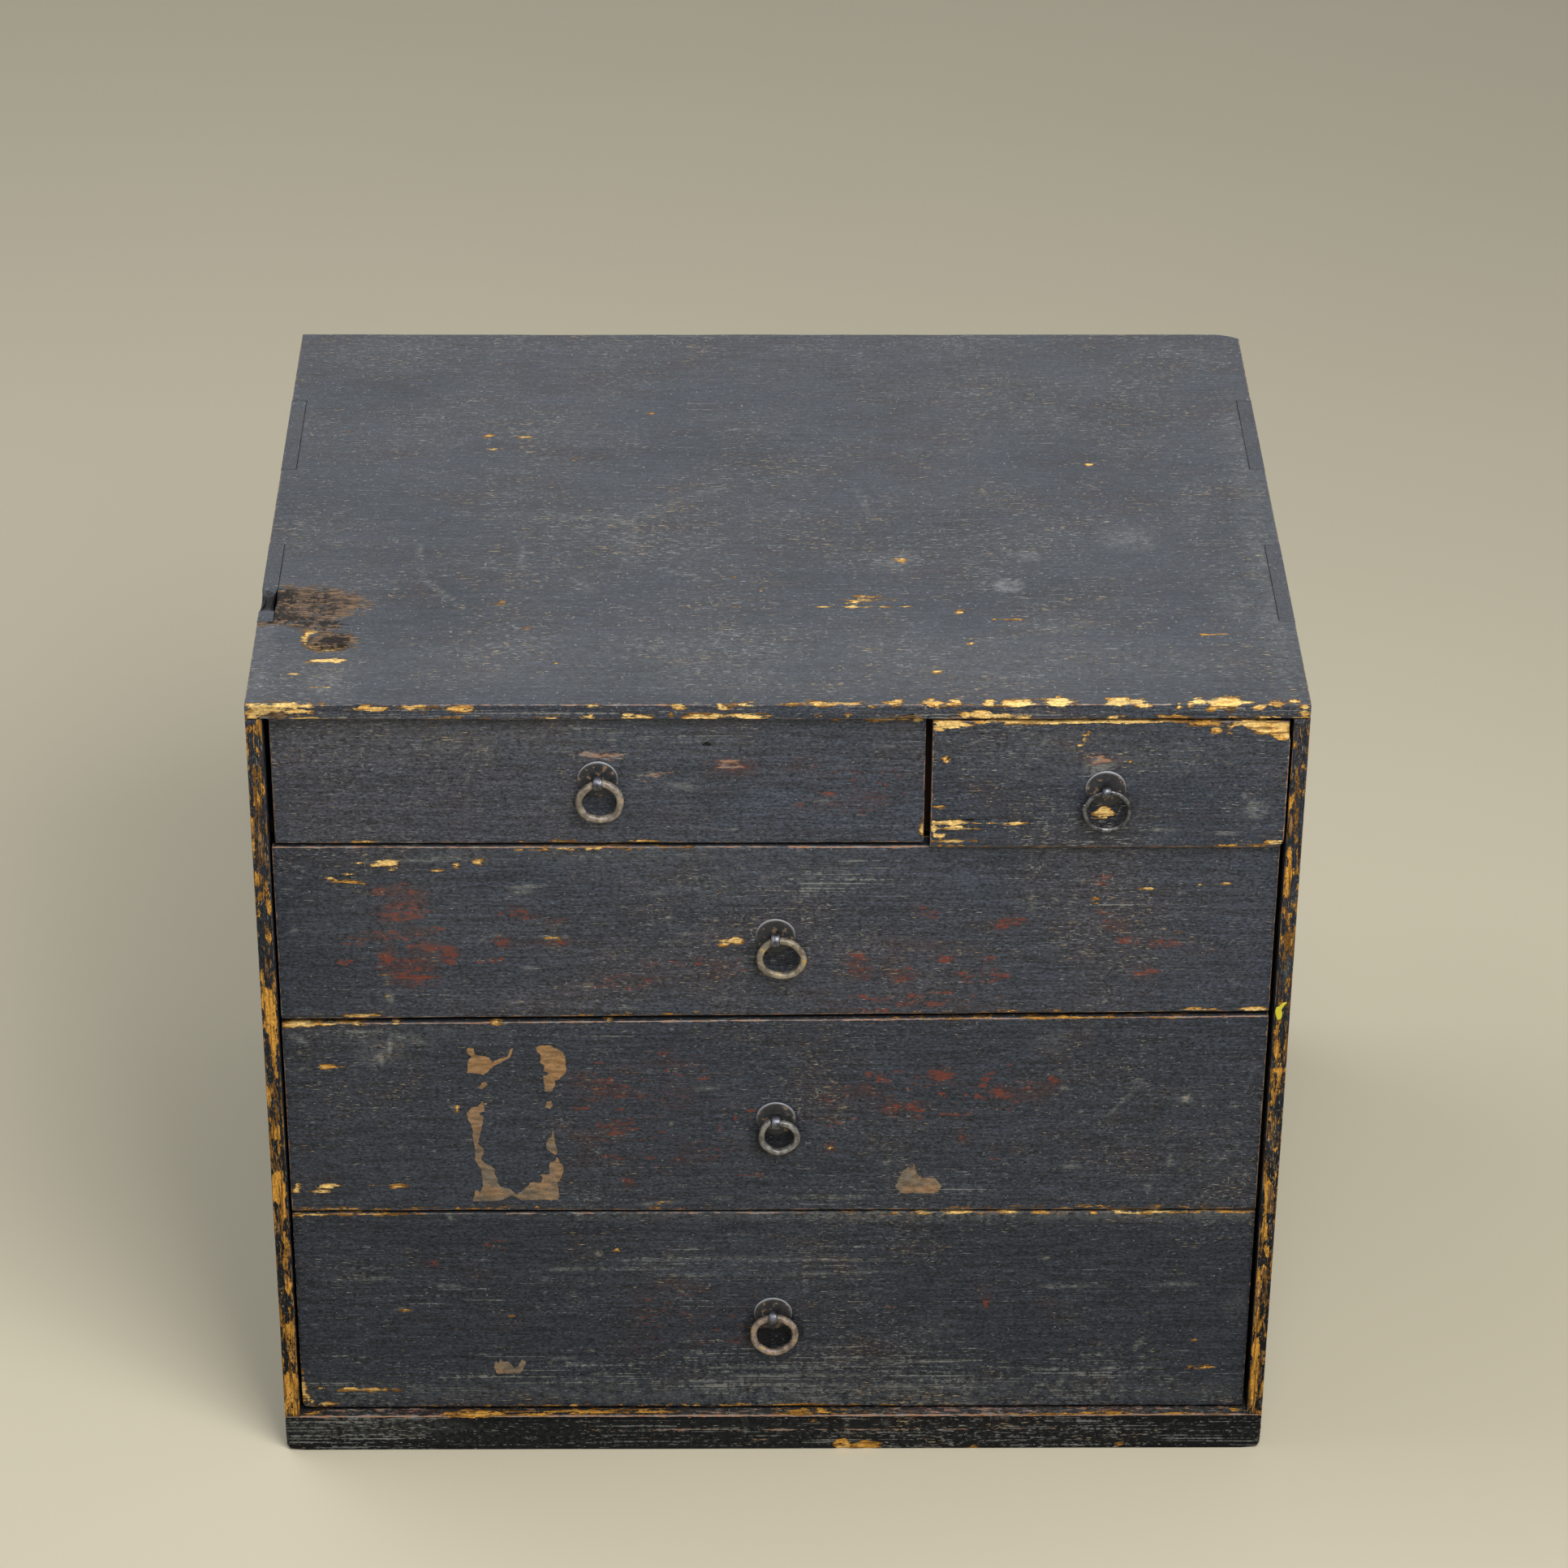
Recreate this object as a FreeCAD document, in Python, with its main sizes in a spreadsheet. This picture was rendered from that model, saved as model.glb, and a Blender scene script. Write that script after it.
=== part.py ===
# Small Japanese chest of drawers (tansu) with two drawers side by side over
# three full-width ones.  Every drawer has one iron ring pull on a split pin.
#
# Millimetres.  +X is to the right seen from the front, +Y runs from the front
# to the back, +Z is up.  The origin is the centre of the footprint, on the floor.

import FreeCAD, Part
import Sketcher
import os

# ----------------------------------------------------------------- driving sizes
SIZES = {
    # case, outside
    "case_width": 480.0,
    "case_depth": 376.0,
    # boards of the case
    "side_thick": 7.6,
    "top_thick": 8.0,
    "base_thick": 21.0,
    "shelf_thick": 7.0,
    "divider_thick": 7.0,
    "back_thick": 6.0,
    # finger joints that tie the sides to the top and the base
    "tongue_width": 74.0,          # each side board has two tongues at each end
    "tongue_pitch": 150.0,         # from the middle of one tongue to the other
    "base_round": 3.0,             # rounded lower outer edges
    "arris_round": 0.8,            # softened edge of the top board
    # housings and rabbets of the case
    "shelf_housing": 3.0,
    "divider_housing": 2.5,
    "back_rabbet": 4.0,
    "lower_back_height": 138.0,
    "middle_back_height": 132.0,
    "back_seam": 0.4,
    # drawer fronts: heights of the rows and the lines between them
    "bottom_height": 118.3,
    "third_height": 110.4,
    "second_height": 93.6,
    "top_height": 67.6,
    # gaps, which differ as they do in hand work: under each row's fronts,
    "bottom_gap": 1.5,
    "third_gap": 0.9,
    "second_gap": 2.2,
    "top_gap": 1.4,
    "ceiling_gap": 1.1,            # over the top row,
    "wide_left_gap": 0.8,          # beside the full-width fronts
    "wide_right_gap": 1.6,
    "pair_left_gap": 2.5,          # and beside and between the two top fronts
    "pair_right_gap": 0.7,
    "pair_gap": 2.5,
    "pair_x": 68.25,               # middle of that gap
    "front_recess": 5.0,           # fronts sit this far behind the case's front edge
    "front_thick": 10.0,
    "front_round": 0.8,
    "top_right_proud": 4.0,        # this drawer stands a little open
    # drawer boxes
    "box_thick": 6.0,
    "bottom_thick": 5.0,
    "box_drop": 4.0,               # sides end below the front's top edge
    "lap_thick": 5.0,              # wood of the front left in front of the sides
    "box_joint": 3.0,              # depth of the drawer's rabbets and grooves
    # running clearances
    "shelf_clearance": 0.3,        # under a drawer
    "lap_clearance": 0.5,          # between a closed front and the shelf edge
    "back_clearance": 0.5,         # between a closed drawer and the back boards
    "divider_clearance": 0.7,
    # square wooden pegs
    "peg_size": 1.8,
    "case_peg_length": 24.0,
    "back_peg_length": 20.0,
    "box_peg_length": 18.0,
    "bottom_peg_length": 14.0,
    "peg_margin": 14.0,            # from a joint's end to its first peg
    # ring pulls
    "plate_radius": 9.3,
    "plate_thick": 0.8,
    "strip_width": 4.4,            # split pin, bent from flat strip
    "strip_thick": 1.0,
    "leg_length": 11.0,            # clinched legs inside the front
    "eye_clearance": 0.5,
}

# Ring pulls differ a little: outer radius, wire radius, and where the pull sits
# from the middle of its front.
PULLS = {
    "top_left": (11.2, 1.7, -0.4, 0.8),
    "top_right": (11.2, 1.1, -1.6, -2.1),
    "second": (11.5, 1.65, -0.3, -2.2),
    "third": (10.1, 1.65, 0.4, -1.2),
    "bottom": (11.9, 1.65, -0.4, -1.4),
}
PULL_SIZES = ("ring_radius", "wire_radius", "pull_shift_x", "pull_shift_z")
RING_FLATS = 20                    # flats round a ring, and round its wire
WIRE_FLATS = 8
for drawer_name, values in PULLS.items():
    for pull_size, value in zip(PULL_SIZES, values):
        SIZES[drawer_name + "_" + pull_size] = value

doc = FreeCAD.newDocument("tansu_chest")
sheet = doc.addObject("Spreadsheet::Sheet", "Sizes")
for row, (alias, value) in enumerate(SIZES.items(), start=1):
    cell = "A%d" % row
    sheet.set(cell, str(value))
    sheet.setAlias(cell, alias)
doc.recompute()


# -------------------------------------------------------- sizes as expressions
class Size:
    """An expression over the sheet's aliases, with its present value."""

    def __init__(self, text, value):
        self.text = text
        self.value = value

    def join(self, sign, other, value):
        return Size("(%s %s %s)" % (self.text, sign, other.text), value)

    def __add__(self, other):
        other = as_size(other)
        return self.join("+", other, self.value + other.value)

    def __sub__(self, other):
        other = as_size(other)
        return self.join("-", other, self.value - other.value)

    def __mul__(self, factor):
        factor = as_size(factor)
        return self.join("*", factor, self.value * factor.value)

    def __truediv__(self, factor):
        factor = as_size(factor)
        return self.join("/", factor, self.value / factor.value)

    def __neg__(self):
        return Size("(0 - %s)" % self.text, -self.value)


def as_size(number):
    return number if isinstance(number, Size) else Size(repr(number), number)


def size(alias):
    return Size("Sizes." + alias, SIZES[alias])


def bind(thing, name, amount):
    thing.setExpression(name, as_size(amount).text)


def middle(span):
    low, high = span
    return (low + high) / 2


def around(centre, width):
    """A span of this width about its centre."""
    return centre - width / 2, centre + width / 2


# ------------------------------------------------------------- modelling helpers
# An extrusion along an axis starts from this origin plane.  The second value is
# the way the plane faces along that axis.
PLANES = {"X": ("YZ_Plane", 1), "Y": ("XZ_Plane", -1), "Z": ("XY_Plane", 1)}
nodes = []


def new_body(name):
    return doc.addObject("PartDesign::Body", name + "_body")


def new_sketch(body, axis, level):
    """A sketch on the body's own origin plane, moved to this level of the axis."""
    role, facing = PLANES[axis]
    plane = next(p for p in body.Origin.OriginFeatures if p.Role == role)
    sketch = body.newObject("Sketcher::SketchObject", body.Name + "_sketch")
    sketch.AttachmentSupport = (plane, [""])
    sketch.MapMode = "FlatFace"
    bind(sketch, "AttachmentOffset.Base.z", as_size(level) * facing)
    return sketch


def draw_outline(sketch, corners):
    """A closed outline of straight lines, each corner bound to its sizes."""
    corners = [(as_size(u), as_size(v)) for u, v in corners]
    count = len(corners)
    for start in range(count):
        end = (start + 1) % count
        ends = [FreeCAD.Vector(corners[i][0].value, corners[i][1].value, 0)
                for i in (start, end)]
        sketch.addGeometry(Part.LineSegment(*ends))
    for line in range(count):
        sketch.addConstraint(Sketcher.Constraint("Coincident", line, 2, (line + 1) % count, 1))
    for line, (u, v) in enumerate(corners):
        for kind, amount in (("DistanceX", u), ("DistanceY", v)):
            index = sketch.addConstraint(
                Sketcher.Constraint(kind, -1, 1, line, 1, amount.value))
            bind(sketch, "Constraints[%d]" % index, amount)


def draw_circle(sketch, centre, radius):
    u, v = centre
    place = FreeCAD.Vector(u.value, v.value, 0)
    sketch.addGeometry(Part.Circle(place, FreeCAD.Vector(0, 0, 1), radius.value))
    for kind, amount in (("DistanceX", u), ("DistanceY", v)):
        index = sketch.addConstraint(Sketcher.Constraint(kind, -1, 1, 0, 3, amount.value))
        bind(sketch, "Constraints[%d]" % index, amount)
    index = sketch.addConstraint(Sketcher.Constraint("Radius", 0, radius.value))
    bind(sketch, "Constraints[%d]" % index, radius)


def extrude(body, kind, sketch, axis, span):
    """Pad or Pocket the sketch over this span of the axis."""
    low, high = span
    feature = body.newObject("PartDesign::" + kind, body.Name + "_" + kind.lower())
    feature.Profile = sketch
    forward = PLANES[axis][1] > 0
    feature.Reversed = forward if kind == "Pocket" else not forward
    bind(feature, "Length", high - low)
    return feature


def pad_outline(body, axis, span, corners):
    sketch = new_sketch(body, axis, span[0])
    draw_outline(sketch, corners)
    return extrude(body, "Pad", sketch, axis, span)


def rectangle(u, v):
    return [(u[0], v[0]), (u[1], v[0]), (u[1], v[1]), (u[0], v[1])]


def pad_box(body, x, y, z):
    return pad_outline(body, "Z", z, rectangle(x, y))


def cut_box(body, axis, x, y, z):
    """Cut a rabbet, groove or housing whose bottom is square to the axis."""
    spans = {"X": (x, (y, z)), "Y": (y, (x, z)), "Z": (z, (x, y))}
    span, (u, v) = spans[axis]
    sketch = new_sketch(body, axis, span[0])
    draw_outline(sketch, rectangle(u, v))
    return extrude(body, "Pocket", sketch, axis, span)


def round_edges(body, radius, wanted):
    """Round the body's edges that a test of the edge picks."""
    doc.recompute()
    base = body.Tip
    names = ["Edge%d" % number for number, edge in enumerate(base.Shape.Edges, start=1)
             if wanted(edge)]
    feature = body.newObject("PartDesign::Fillet", body.Name + "_fillet")
    feature.Base = (base, names)
    bind(feature, "Radius", radius)
    return feature


def near(number, amount):
    return abs(number - as_size(amount).value) < 1e-4


def peg(x, y, z):
    """A square peg over three spans, as a box bound to the sheet."""
    box = doc.addObject("Part::Box", "peg")
    for name, span in (("Length", x), ("Width", y), ("Height", z)):
        bind(box, name, span[1] - span[0])
    for letter, span in (("x", x), ("y", y), ("z", z)):
        bind(box, "Placement.Base." + letter, span[0])
    return box


def group(name, pieces):
    """Alike solids that share one node."""
    compound = doc.addObject("Part::Compound", name)
    compound.Links = pieces
    return node(name, compound)


def node(name, thing):
    thing.Label = name
    nodes.append(thing)
    return thing


def bored(name, body, *tools):
    """The finished piece: the body with the pegs or pin that pass through it cut out."""
    for tool in tools:
        cut = doc.addObject("Part::Cut", name + "_cut")
        cut.Base = body
        cut.Tool = tool
        body = cut
    return node(name, body)


# --------------------------------------------------------------- places in the case
half_width = size("case_width") / 2
front_y = -size("case_depth") / 2
rear_y = size("case_depth") / 2
left_inner = -half_width + size("side_thick")
right_inner = half_width - size("side_thick")

# The rows, from the base board up: where each front starts and ends.
rows = {}
row_end = size("base_thick")
for row_name in ("bottom", "third", "second", "top"):
    row_start = row_end + size(row_name + "_gap")
    row_end = row_start + size(row_name + "_height")
    rows[row_name] = (row_start, row_end)
ceiling_z = row_end + size("ceiling_gap")
case_top_z = ceiling_z + size("top_thick")

# A shelf lies behind the lower edge of the front above it.
shelf_spans = {row: (rows[row][0], rows[row][0] + size("shelf_thick"))
               for row in ("third", "second", "top")}
shelf_front_y = front_y + size("front_recess") + size("front_thick") + size("lap_clearance")
back_inner_y = rear_y - size("back_thick")
shelf_y = (shelf_front_y, back_inner_y)
divider_x = around(size("pair_x"), size("divider_thick"))
tongues = [around(size("tongue_pitch") * side / 2, size("tongue_width")) for side in (-1, 1)]


# ---------------------------------------------------------------------- the case
def side_tongue_pegs(inner_x, outer_x):
    """Pegs driven level through the tongues into the ends of the top and the base."""
    pegs = []
    outward = -1 if outer_x.value < 0 else 1
    tip = outer_x - size("case_peg_length") * outward
    x = (outer_x, tip) if outward < 0 else (tip, outer_x)
    for board in ((ceiling_z, case_top_z), (as_size(0.0), size("base_thick"))):
        z = around(middle(board), size("peg_size"))
        for low, high in tongues:
            for y in (low + size("peg_margin"), high - size("peg_margin")):
                pegs.append(peg(x, around(y, size("peg_size")), z))
    for shelf in shelf_spans.values():
        z = around(middle(shelf), size("peg_size"))
        for y in (shelf_y[0] + size("peg_margin") * 2, middle(shelf_y),
                  shelf_y[1] - size("peg_margin") * 2):
            pegs.append(peg(x, around(y, size("peg_size")), z))
    return pegs


def make_case_pegs():
    pegs = side_tongue_pegs(left_inner, -half_width)
    pegs += side_tongue_pegs(right_inner, half_width)
    return group("case_pegs", pegs)


def back_board_spans():
    """The three back boards, from the base up, with a fine seam between them."""
    low = size("base_thick") - size("back_rabbet")
    first = low + size("lower_back_height")
    second = first + size("middle_back_height")
    top = ceiling_z + size("back_rabbet")
    seam = size("back_seam")
    return {"lower_back": (low, first - seam), "middle_back": (first, second - seam),
            "upper_back": (second, top)}


back_x = (left_inner - size("back_rabbet"), right_inner + size("back_rabbet"))


def make_back_pegs():
    """Pegs through the back boards into the sides, top, base and shelves."""
    pegs = []
    y = (rear_y - size("back_peg_length"), rear_y)
    for low, high in back_board_spans().values():
        for x in (back_x[0] + size("back_rabbet") / 2, back_x[1] - size("back_rabbet") / 2):
            for z in (low + size("peg_margin"), high - size("peg_margin")):
                pegs.append(peg(around(x, size("peg_size")), y, around(z, size("peg_size"))))
    levels = [ceiling_z + size("back_rabbet") / 2, size("base_thick") - size("back_rabbet") / 2]
    levels += [middle(shelf) for shelf in shelf_spans.values()]
    for z in levels:
        for x in (middle((back_x[0], size("pair_x"))), middle((size("pair_x"), back_x[1]))):
            pegs.append(peg(around(x, size("peg_size")), y, around(z, size("peg_size"))))
    return group("back_pegs", pegs)


def fingered_board_outline():
    """Plan of the top or base board: a notch in each end for every tongue."""
    corners = [(-half_width, front_y), (half_width, front_y)]
    for low, high in tongues:
        corners += [(half_width, low), (right_inner, low), (right_inner, high), (half_width, high)]
    corners += [(half_width, rear_y), (-half_width, rear_y)]
    for low, high in reversed(tongues):
        corners += [(-half_width, high), (left_inner, high), (left_inner, low), (-half_width, low)]
    return corners


def make_top_board(case_pegs, back_pegs):
    body = new_body("top_board")
    pad_outline(body, "Z", (ceiling_z, case_top_z), fingered_board_outline())
    cut_box(body, "Z", divider_x, shelf_y, (ceiling_z, ceiling_z + size("divider_housing")))
    cut_box(body, "Z", back_x, (back_inner_y, rear_y),
            (ceiling_z, ceiling_z + size("back_rabbet")))
    round_edges(body, size("arris_round"), lambda edge: all(
        near(vertex.Y, front_y) and near(vertex.Z, case_top_z) for vertex in edge.Vertexes))
    return bored("top_board", body, case_pegs, back_pegs)


def is_lower_outer_edge(edge):
    return all(near(vertex.Z, 0) and near(abs(vertex.X), half_width) for vertex in edge.Vertexes)


def make_base_board(case_pegs, back_pegs):
    body = new_body("base_board")
    pad_outline(body, "Z", (as_size(0.0), size("base_thick")), fingered_board_outline())
    cut_box(body, "Z", back_x, (back_inner_y, rear_y),
            (size("base_thick") - size("back_rabbet"), size("base_thick")))
    round_edges(body, size("base_round"), is_lower_outer_edge)
    return bored("base_board", body, case_pegs, back_pegs)


def make_side(name, x, housing_x, rabbet_x, case_pegs, back_pegs):
    """A side board: tongues at both ends, housings for the shelves, a rear rabbet."""
    base_z = size("base_thick")
    corners = [(front_y, base_z)]
    for low, high in tongues:
        corners += [(low, base_z), (low, 0.0), (high, 0.0), (high, base_z)]
    corners += [(rear_y, base_z), (rear_y, ceiling_z)]
    for low, high in reversed(tongues):
        corners += [(high, ceiling_z), (high, case_top_z), (low, case_top_z), (low, ceiling_z)]
    corners += [(front_y, ceiling_z)]
    body = new_body(name)
    pad_outline(body, "X", x, corners)
    for shelf in shelf_spans.values():
        cut_box(body, "X", housing_x, shelf_y, shelf)
    cut_box(body, "X", rabbet_x, (back_inner_y, rear_y), (base_z, ceiling_z))
    round_edges(body, size("base_round"), is_lower_outer_edge)
    return bored(name, body, case_pegs, back_pegs)


def make_shelf(name, row, case_pegs, back_pegs):
    body = new_body(name)
    x = (left_inner - size("shelf_housing"), right_inner + size("shelf_housing"))
    z = shelf_spans[row]
    pad_box(body, x, shelf_y, z)
    if row == "top":
        cut_box(body, "Z", divider_x, shelf_y, (z[1] - size("divider_housing"), z[1]))
    return bored(name, body, case_pegs, back_pegs)


def make_divider():
    body = new_body("top_divider")
    housing = size("divider_housing")
    pad_box(body, divider_x, shelf_y, (shelf_spans["top"][1] - housing, ceiling_z + housing))
    return node("top_divider", body)


def make_back_board(name, z, back_pegs):
    body = new_body(name)
    pad_box(body, back_x, (back_inner_y, rear_y), z)
    return bored(name, body, back_pegs)


def make_case():
    case_pegs = make_case_pegs()
    back_pegs = make_back_pegs()
    make_top_board(case_pegs, back_pegs)
    make_base_board(case_pegs, back_pegs)
    housing = size("shelf_housing")
    rabbet = size("back_rabbet")
    make_side("left_side", (-half_width, left_inner), (left_inner - housing, left_inner),
              (left_inner - rabbet, left_inner), case_pegs, back_pegs)
    make_side("right_side", (right_inner, half_width), (right_inner, right_inner + housing),
              (right_inner, right_inner + rabbet), case_pegs, back_pegs)
    for name, row in (("lower_shelf", "third"), ("middle_shelf", "second"),
                      ("upper_shelf", "top")):
        make_shelf(name, row, case_pegs, back_pegs)
    make_divider()
    for name, z in back_board_spans().items():
        make_back_board(name, z, back_pegs)


# ------------------------------------------------------------------- the drawers
class Drawer:
    """Where one drawer's front and box lie."""

    def __init__(self, name, row, front_x, box_x, proud):
        self.name = name
        self.front_x = front_x
        self.box_x = box_x
        self.front_z = rows[row]
        face_y = front_y + size("front_recess") - proud
        self.front_y = (face_y, face_y + size("front_thick"))
        self.rear_y = back_inner_y - size("back_clearance") - proud
        if row == "bottom":
            carrier_z = size("base_thick")
        else:
            carrier_z = shelf_spans[row][1]
        box_low = carrier_z + size("shelf_clearance")
        self.box_z = (box_low, self.front_z[1] - size("box_drop"))
        self.bottom_z = (box_low, box_low + size("bottom_thick"))
        self.left_x = (box_x[0], box_x[0] + size("box_thick"))
        self.right_x = (box_x[1] - size("box_thick"), box_x[1])
        self.inset_x = (self.left_x[1] - size("box_joint"), self.right_x[0] + size("box_joint"))
        self.side_y = (face_y + size("lap_thick"), self.rear_y)
        self.back_y = (self.rear_y - size("box_thick"), self.rear_y)
        self.pull_x = middle(front_x) + size(name + "_pull_shift_x")
        self.pull_z = middle(self.front_z) + size(name + "_pull_shift_z")
        self.wire = size(name + "_wire_radius")
        self.ring = size(name + "_ring_radius")
        self.hole = self.wire + size("eye_clearance")
        self.eye_y = face_y - size("plate_thick") - size("strip_thick") - self.hole


def make_box_pegs(drawer):
    """Pegs of one drawer: through the sides into the front and back, and up
    through the bottom into the sides and the back."""
    pegs = []
    thick = size("peg_size")
    reach = size("box_peg_length")
    margin = size("peg_margin")
    front_peg_y = around(middle((drawer.side_y[0], drawer.front_y[1])), thick)
    back_peg_y = around(middle(drawer.back_y), thick)
    for z in (drawer.bottom_z[1] + margin / 2, drawer.box_z[1] - margin):
        height = around(z, thick)
        for ends, y in ((drawer.front_x, front_peg_y), (drawer.box_x, back_peg_y)):
            pegs.append(peg((ends[0], ends[0] + reach), y, height))
            pegs.append(peg((ends[1] - reach, ends[1]), y, height))
    rise = (drawer.bottom_z[0], drawer.bottom_z[0] + size("bottom_peg_length"))
    ledge = size("box_joint") / 2
    start, end = drawer.front_y[1] + margin * 2, drawer.back_y[0] - margin * 2
    for y in (start, middle((start, end)), end):
        for x in (drawer.inset_x[0] + ledge, drawer.inset_x[1] - ledge):
            pegs.append(peg(around(x, thick), around(y, thick), rise))
    start, end = drawer.inset_x[0] + margin * 2, drawer.inset_x[1] - margin * 2
    for x in (start, middle((start, end)), end):
        pegs.append(peg(around(x, thick), back_peg_y, rise))
    return group(drawer.name + "_pegs", pegs)


def make_eye(drawer):
    """The split pin: one strip bent round the ring's wire, both ends through the
    front, then turned up and down against its inner face."""
    thick = size("strip_thick")
    inside = drawer.front_y[1]
    outside = inside + thick
    reach = thick + size("leg_length")
    z = drawer.pull_z
    outline = [
        (drawer.eye_y, z + thick), (inside, z + thick), (inside, z + reach),
        (outside, z + reach), (outside, z + thick), (inside, z),
        (outside, z - thick), (outside, z - reach), (inside, z - reach),
        (inside, z - thick), (drawer.eye_y, z - thick),
    ]
    x = around(drawer.pull_x, size("strip_width"))
    body = new_body(drawer.name + "_eye")
    pad_outline(body, "X", x, outline)
    knuckle = new_sketch(body, "X", x[0])
    draw_circle(knuckle, (drawer.eye_y, z), drawer.hole + thick)
    extrude(body, "Pad", knuckle, "X", x)
    hole = new_sketch(body, "X", x[0])
    draw_circle(hole, (drawer.eye_y, z), drawer.hole)
    extrude(body, "Pocket", hole, "X", x)
    return node(drawer.name + "_eye", body)


def make_plate(drawer, eye):
    """The round backplate under the eye."""
    body = new_body(drawer.name + "_plate")
    face = drawer.front_y[0]
    y = (face - size("plate_thick"), face)
    disc = new_sketch(body, "Y", y[0])
    draw_circle(disc, (drawer.pull_x, drawer.pull_z), size("plate_radius"))
    extrude(body, "Pad", disc, "Y", y)
    return bored(drawer.name + "_plate", body, eye)


def make_ring(drawer):
    """The ring hangs with its wire through the middle of the eye.  The wire is
    swept with mitred turns round short flats, as a smith leaves a hammered ring."""
    radius = drawer.ring - drawer.wire
    path = doc.addObject("Part::RegularPolygon", drawer.name + "_ring_path")
    path.Polygon = RING_FLATS
    bind(path, "Circumradius", radius)
    path.Placement.Rotation = FreeCAD.Rotation(FreeCAD.Vector(1, 0, 0), 90)
    section = doc.addObject("Part::RegularPolygon", drawer.name + "_wire")
    section.Polygon = WIRE_FLATS
    bind(section, "Circumradius", drawer.wire)
    for polygon, x in ((path, drawer.pull_x), (section, drawer.pull_x + radius)):
        bind(polygon, "Placement.Base.x", x)
        bind(polygon, "Placement.Base.y", drawer.eye_y)
        bind(polygon, "Placement.Base.z", drawer.pull_z - radius)
    ring = doc.addObject("Part::Sweep", drawer.name + "_ring")
    ring.Sections = [section]
    ring.Spine = (path, ["Edge%d" % number for number in range(1, RING_FLATS + 1)])
    ring.Solid = True
    ring.Frenet = False
    ring.Transition = "Right corner"
    return node(drawer.name + "_ring", ring)


def make_front(drawer, pegs, eye):
    """The front: it laps over both sides, and its groove holds the bottom."""
    body = new_body(drawer.name + "_front")
    pad_box(body, drawer.front_x, drawer.front_y, drawer.front_z)
    lap_y = (drawer.side_y[0], drawer.front_y[1])
    for side_x in (drawer.left_x, drawer.right_x):
        cut_box(body, "Y", side_x, lap_y, (drawer.box_z[0], drawer.front_z[1]))
    groove_y = (drawer.front_y[1] - size("box_joint"), drawer.front_y[1])
    cut_box(body, "Y", drawer.inset_x, groove_y, drawer.bottom_z)
    round_edges(body, size("front_round"), lambda edge: all(
        near(vertex.Y, drawer.front_y[0]) for vertex in edge.Vertexes))
    return bored(drawer.name + "_front", body, pegs, eye)


def make_box_side(drawer, name, x, joint_x, pegs):
    """A drawer side, rabbeted inside for the bottom and the back."""
    body = new_body(name)
    pad_box(body, x, drawer.side_y, drawer.box_z)
    cut_box(body, "X", joint_x, drawer.side_y, drawer.bottom_z)
    cut_box(body, "X", joint_x, drawer.back_y, (drawer.bottom_z[1], drawer.box_z[1]))
    return bored(name, body, pegs)


def make_box_back(drawer, pegs):
    body = new_body(drawer.name + "_back")
    pad_box(body, drawer.inset_x, drawer.back_y, (drawer.bottom_z[1], drawer.box_z[1]))
    return bored(drawer.name + "_back", body, pegs)


def make_box_bottom(drawer, pegs):
    body = new_body(drawer.name + "_bottom")
    y = (drawer.front_y[1] - size("box_joint"), drawer.rear_y)
    pad_box(body, drawer.inset_x, y, drawer.bottom_z)
    return bored(drawer.name + "_bottom", body, pegs)


def make_drawer(drawer):
    pegs = make_box_pegs(drawer)
    eye = make_eye(drawer)
    make_plate(drawer, eye)
    make_ring(drawer)
    make_front(drawer, pegs, eye)
    left_joint = (drawer.inset_x[0], drawer.left_x[1])
    right_joint = (drawer.right_x[0], drawer.inset_x[1])
    make_box_side(drawer, drawer.name + "_left", drawer.left_x, left_joint, pegs)
    make_box_side(drawer, drawer.name + "_right", drawer.right_x, right_joint, pegs)
    make_box_back(drawer, pegs)
    make_box_bottom(drawer, pegs)


def list_drawers():
    """Two drawers share the top row; the other rows hold one each."""
    left = left_inner + size("pair_left_gap")
    right = right_inner - size("pair_right_gap")
    pair_left, pair_right = around(size("pair_x"), size("pair_gap"))
    closed = as_size(0.0)
    drawers = [
        Drawer("top_left", "top", (left, pair_left),
               (left, divider_x[0] - size("divider_clearance")), closed),
        Drawer("top_right", "top", (pair_right, right),
               (divider_x[1] + size("divider_clearance"), right), size("top_right_proud")),
    ]
    wide = (left_inner + size("wide_left_gap"), right_inner - size("wide_right_gap"))
    for row in ("second", "third", "bottom"):
        drawers.append(Drawer(row, row, wide, wide, closed))
    return drawers


# ------------------------------------------------------------- build, check, write
def check_model():
    """Stop if any object failed, any shape is not sound, or a pocket cut nothing."""
    for thing in doc.Objects:
        if "Invalid" in thing.State or "Error" in thing.State:
            raise RuntimeError("%s did not build: %s" % (thing.Name, thing.State))
        if thing.TypeId == "PartDesign::Pocket":
            before = thing.BaseFeature.Shape.Volume
            if thing.Shape.Volume >= before - 1e-6:
                raise RuntimeError("%s cut nothing" % thing.Name)
    for thing in nodes:
        if thing.Shape.isNull() or not thing.Shape.isValid():
            raise RuntimeError("%s has no sound shape" % thing.Label)


def write_nodes():
    os.makedirs("parts", exist_ok=True)
    for thing in nodes:
        thing.Shape.exportStep(os.path.join("parts", thing.Label + ".step"))
    print("wrote %d nodes" % len(nodes))


make_case()
for each_drawer in list_drawers():
    make_drawer(each_drawer)
doc.recompute()
check_model()
write_nodes()
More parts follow.
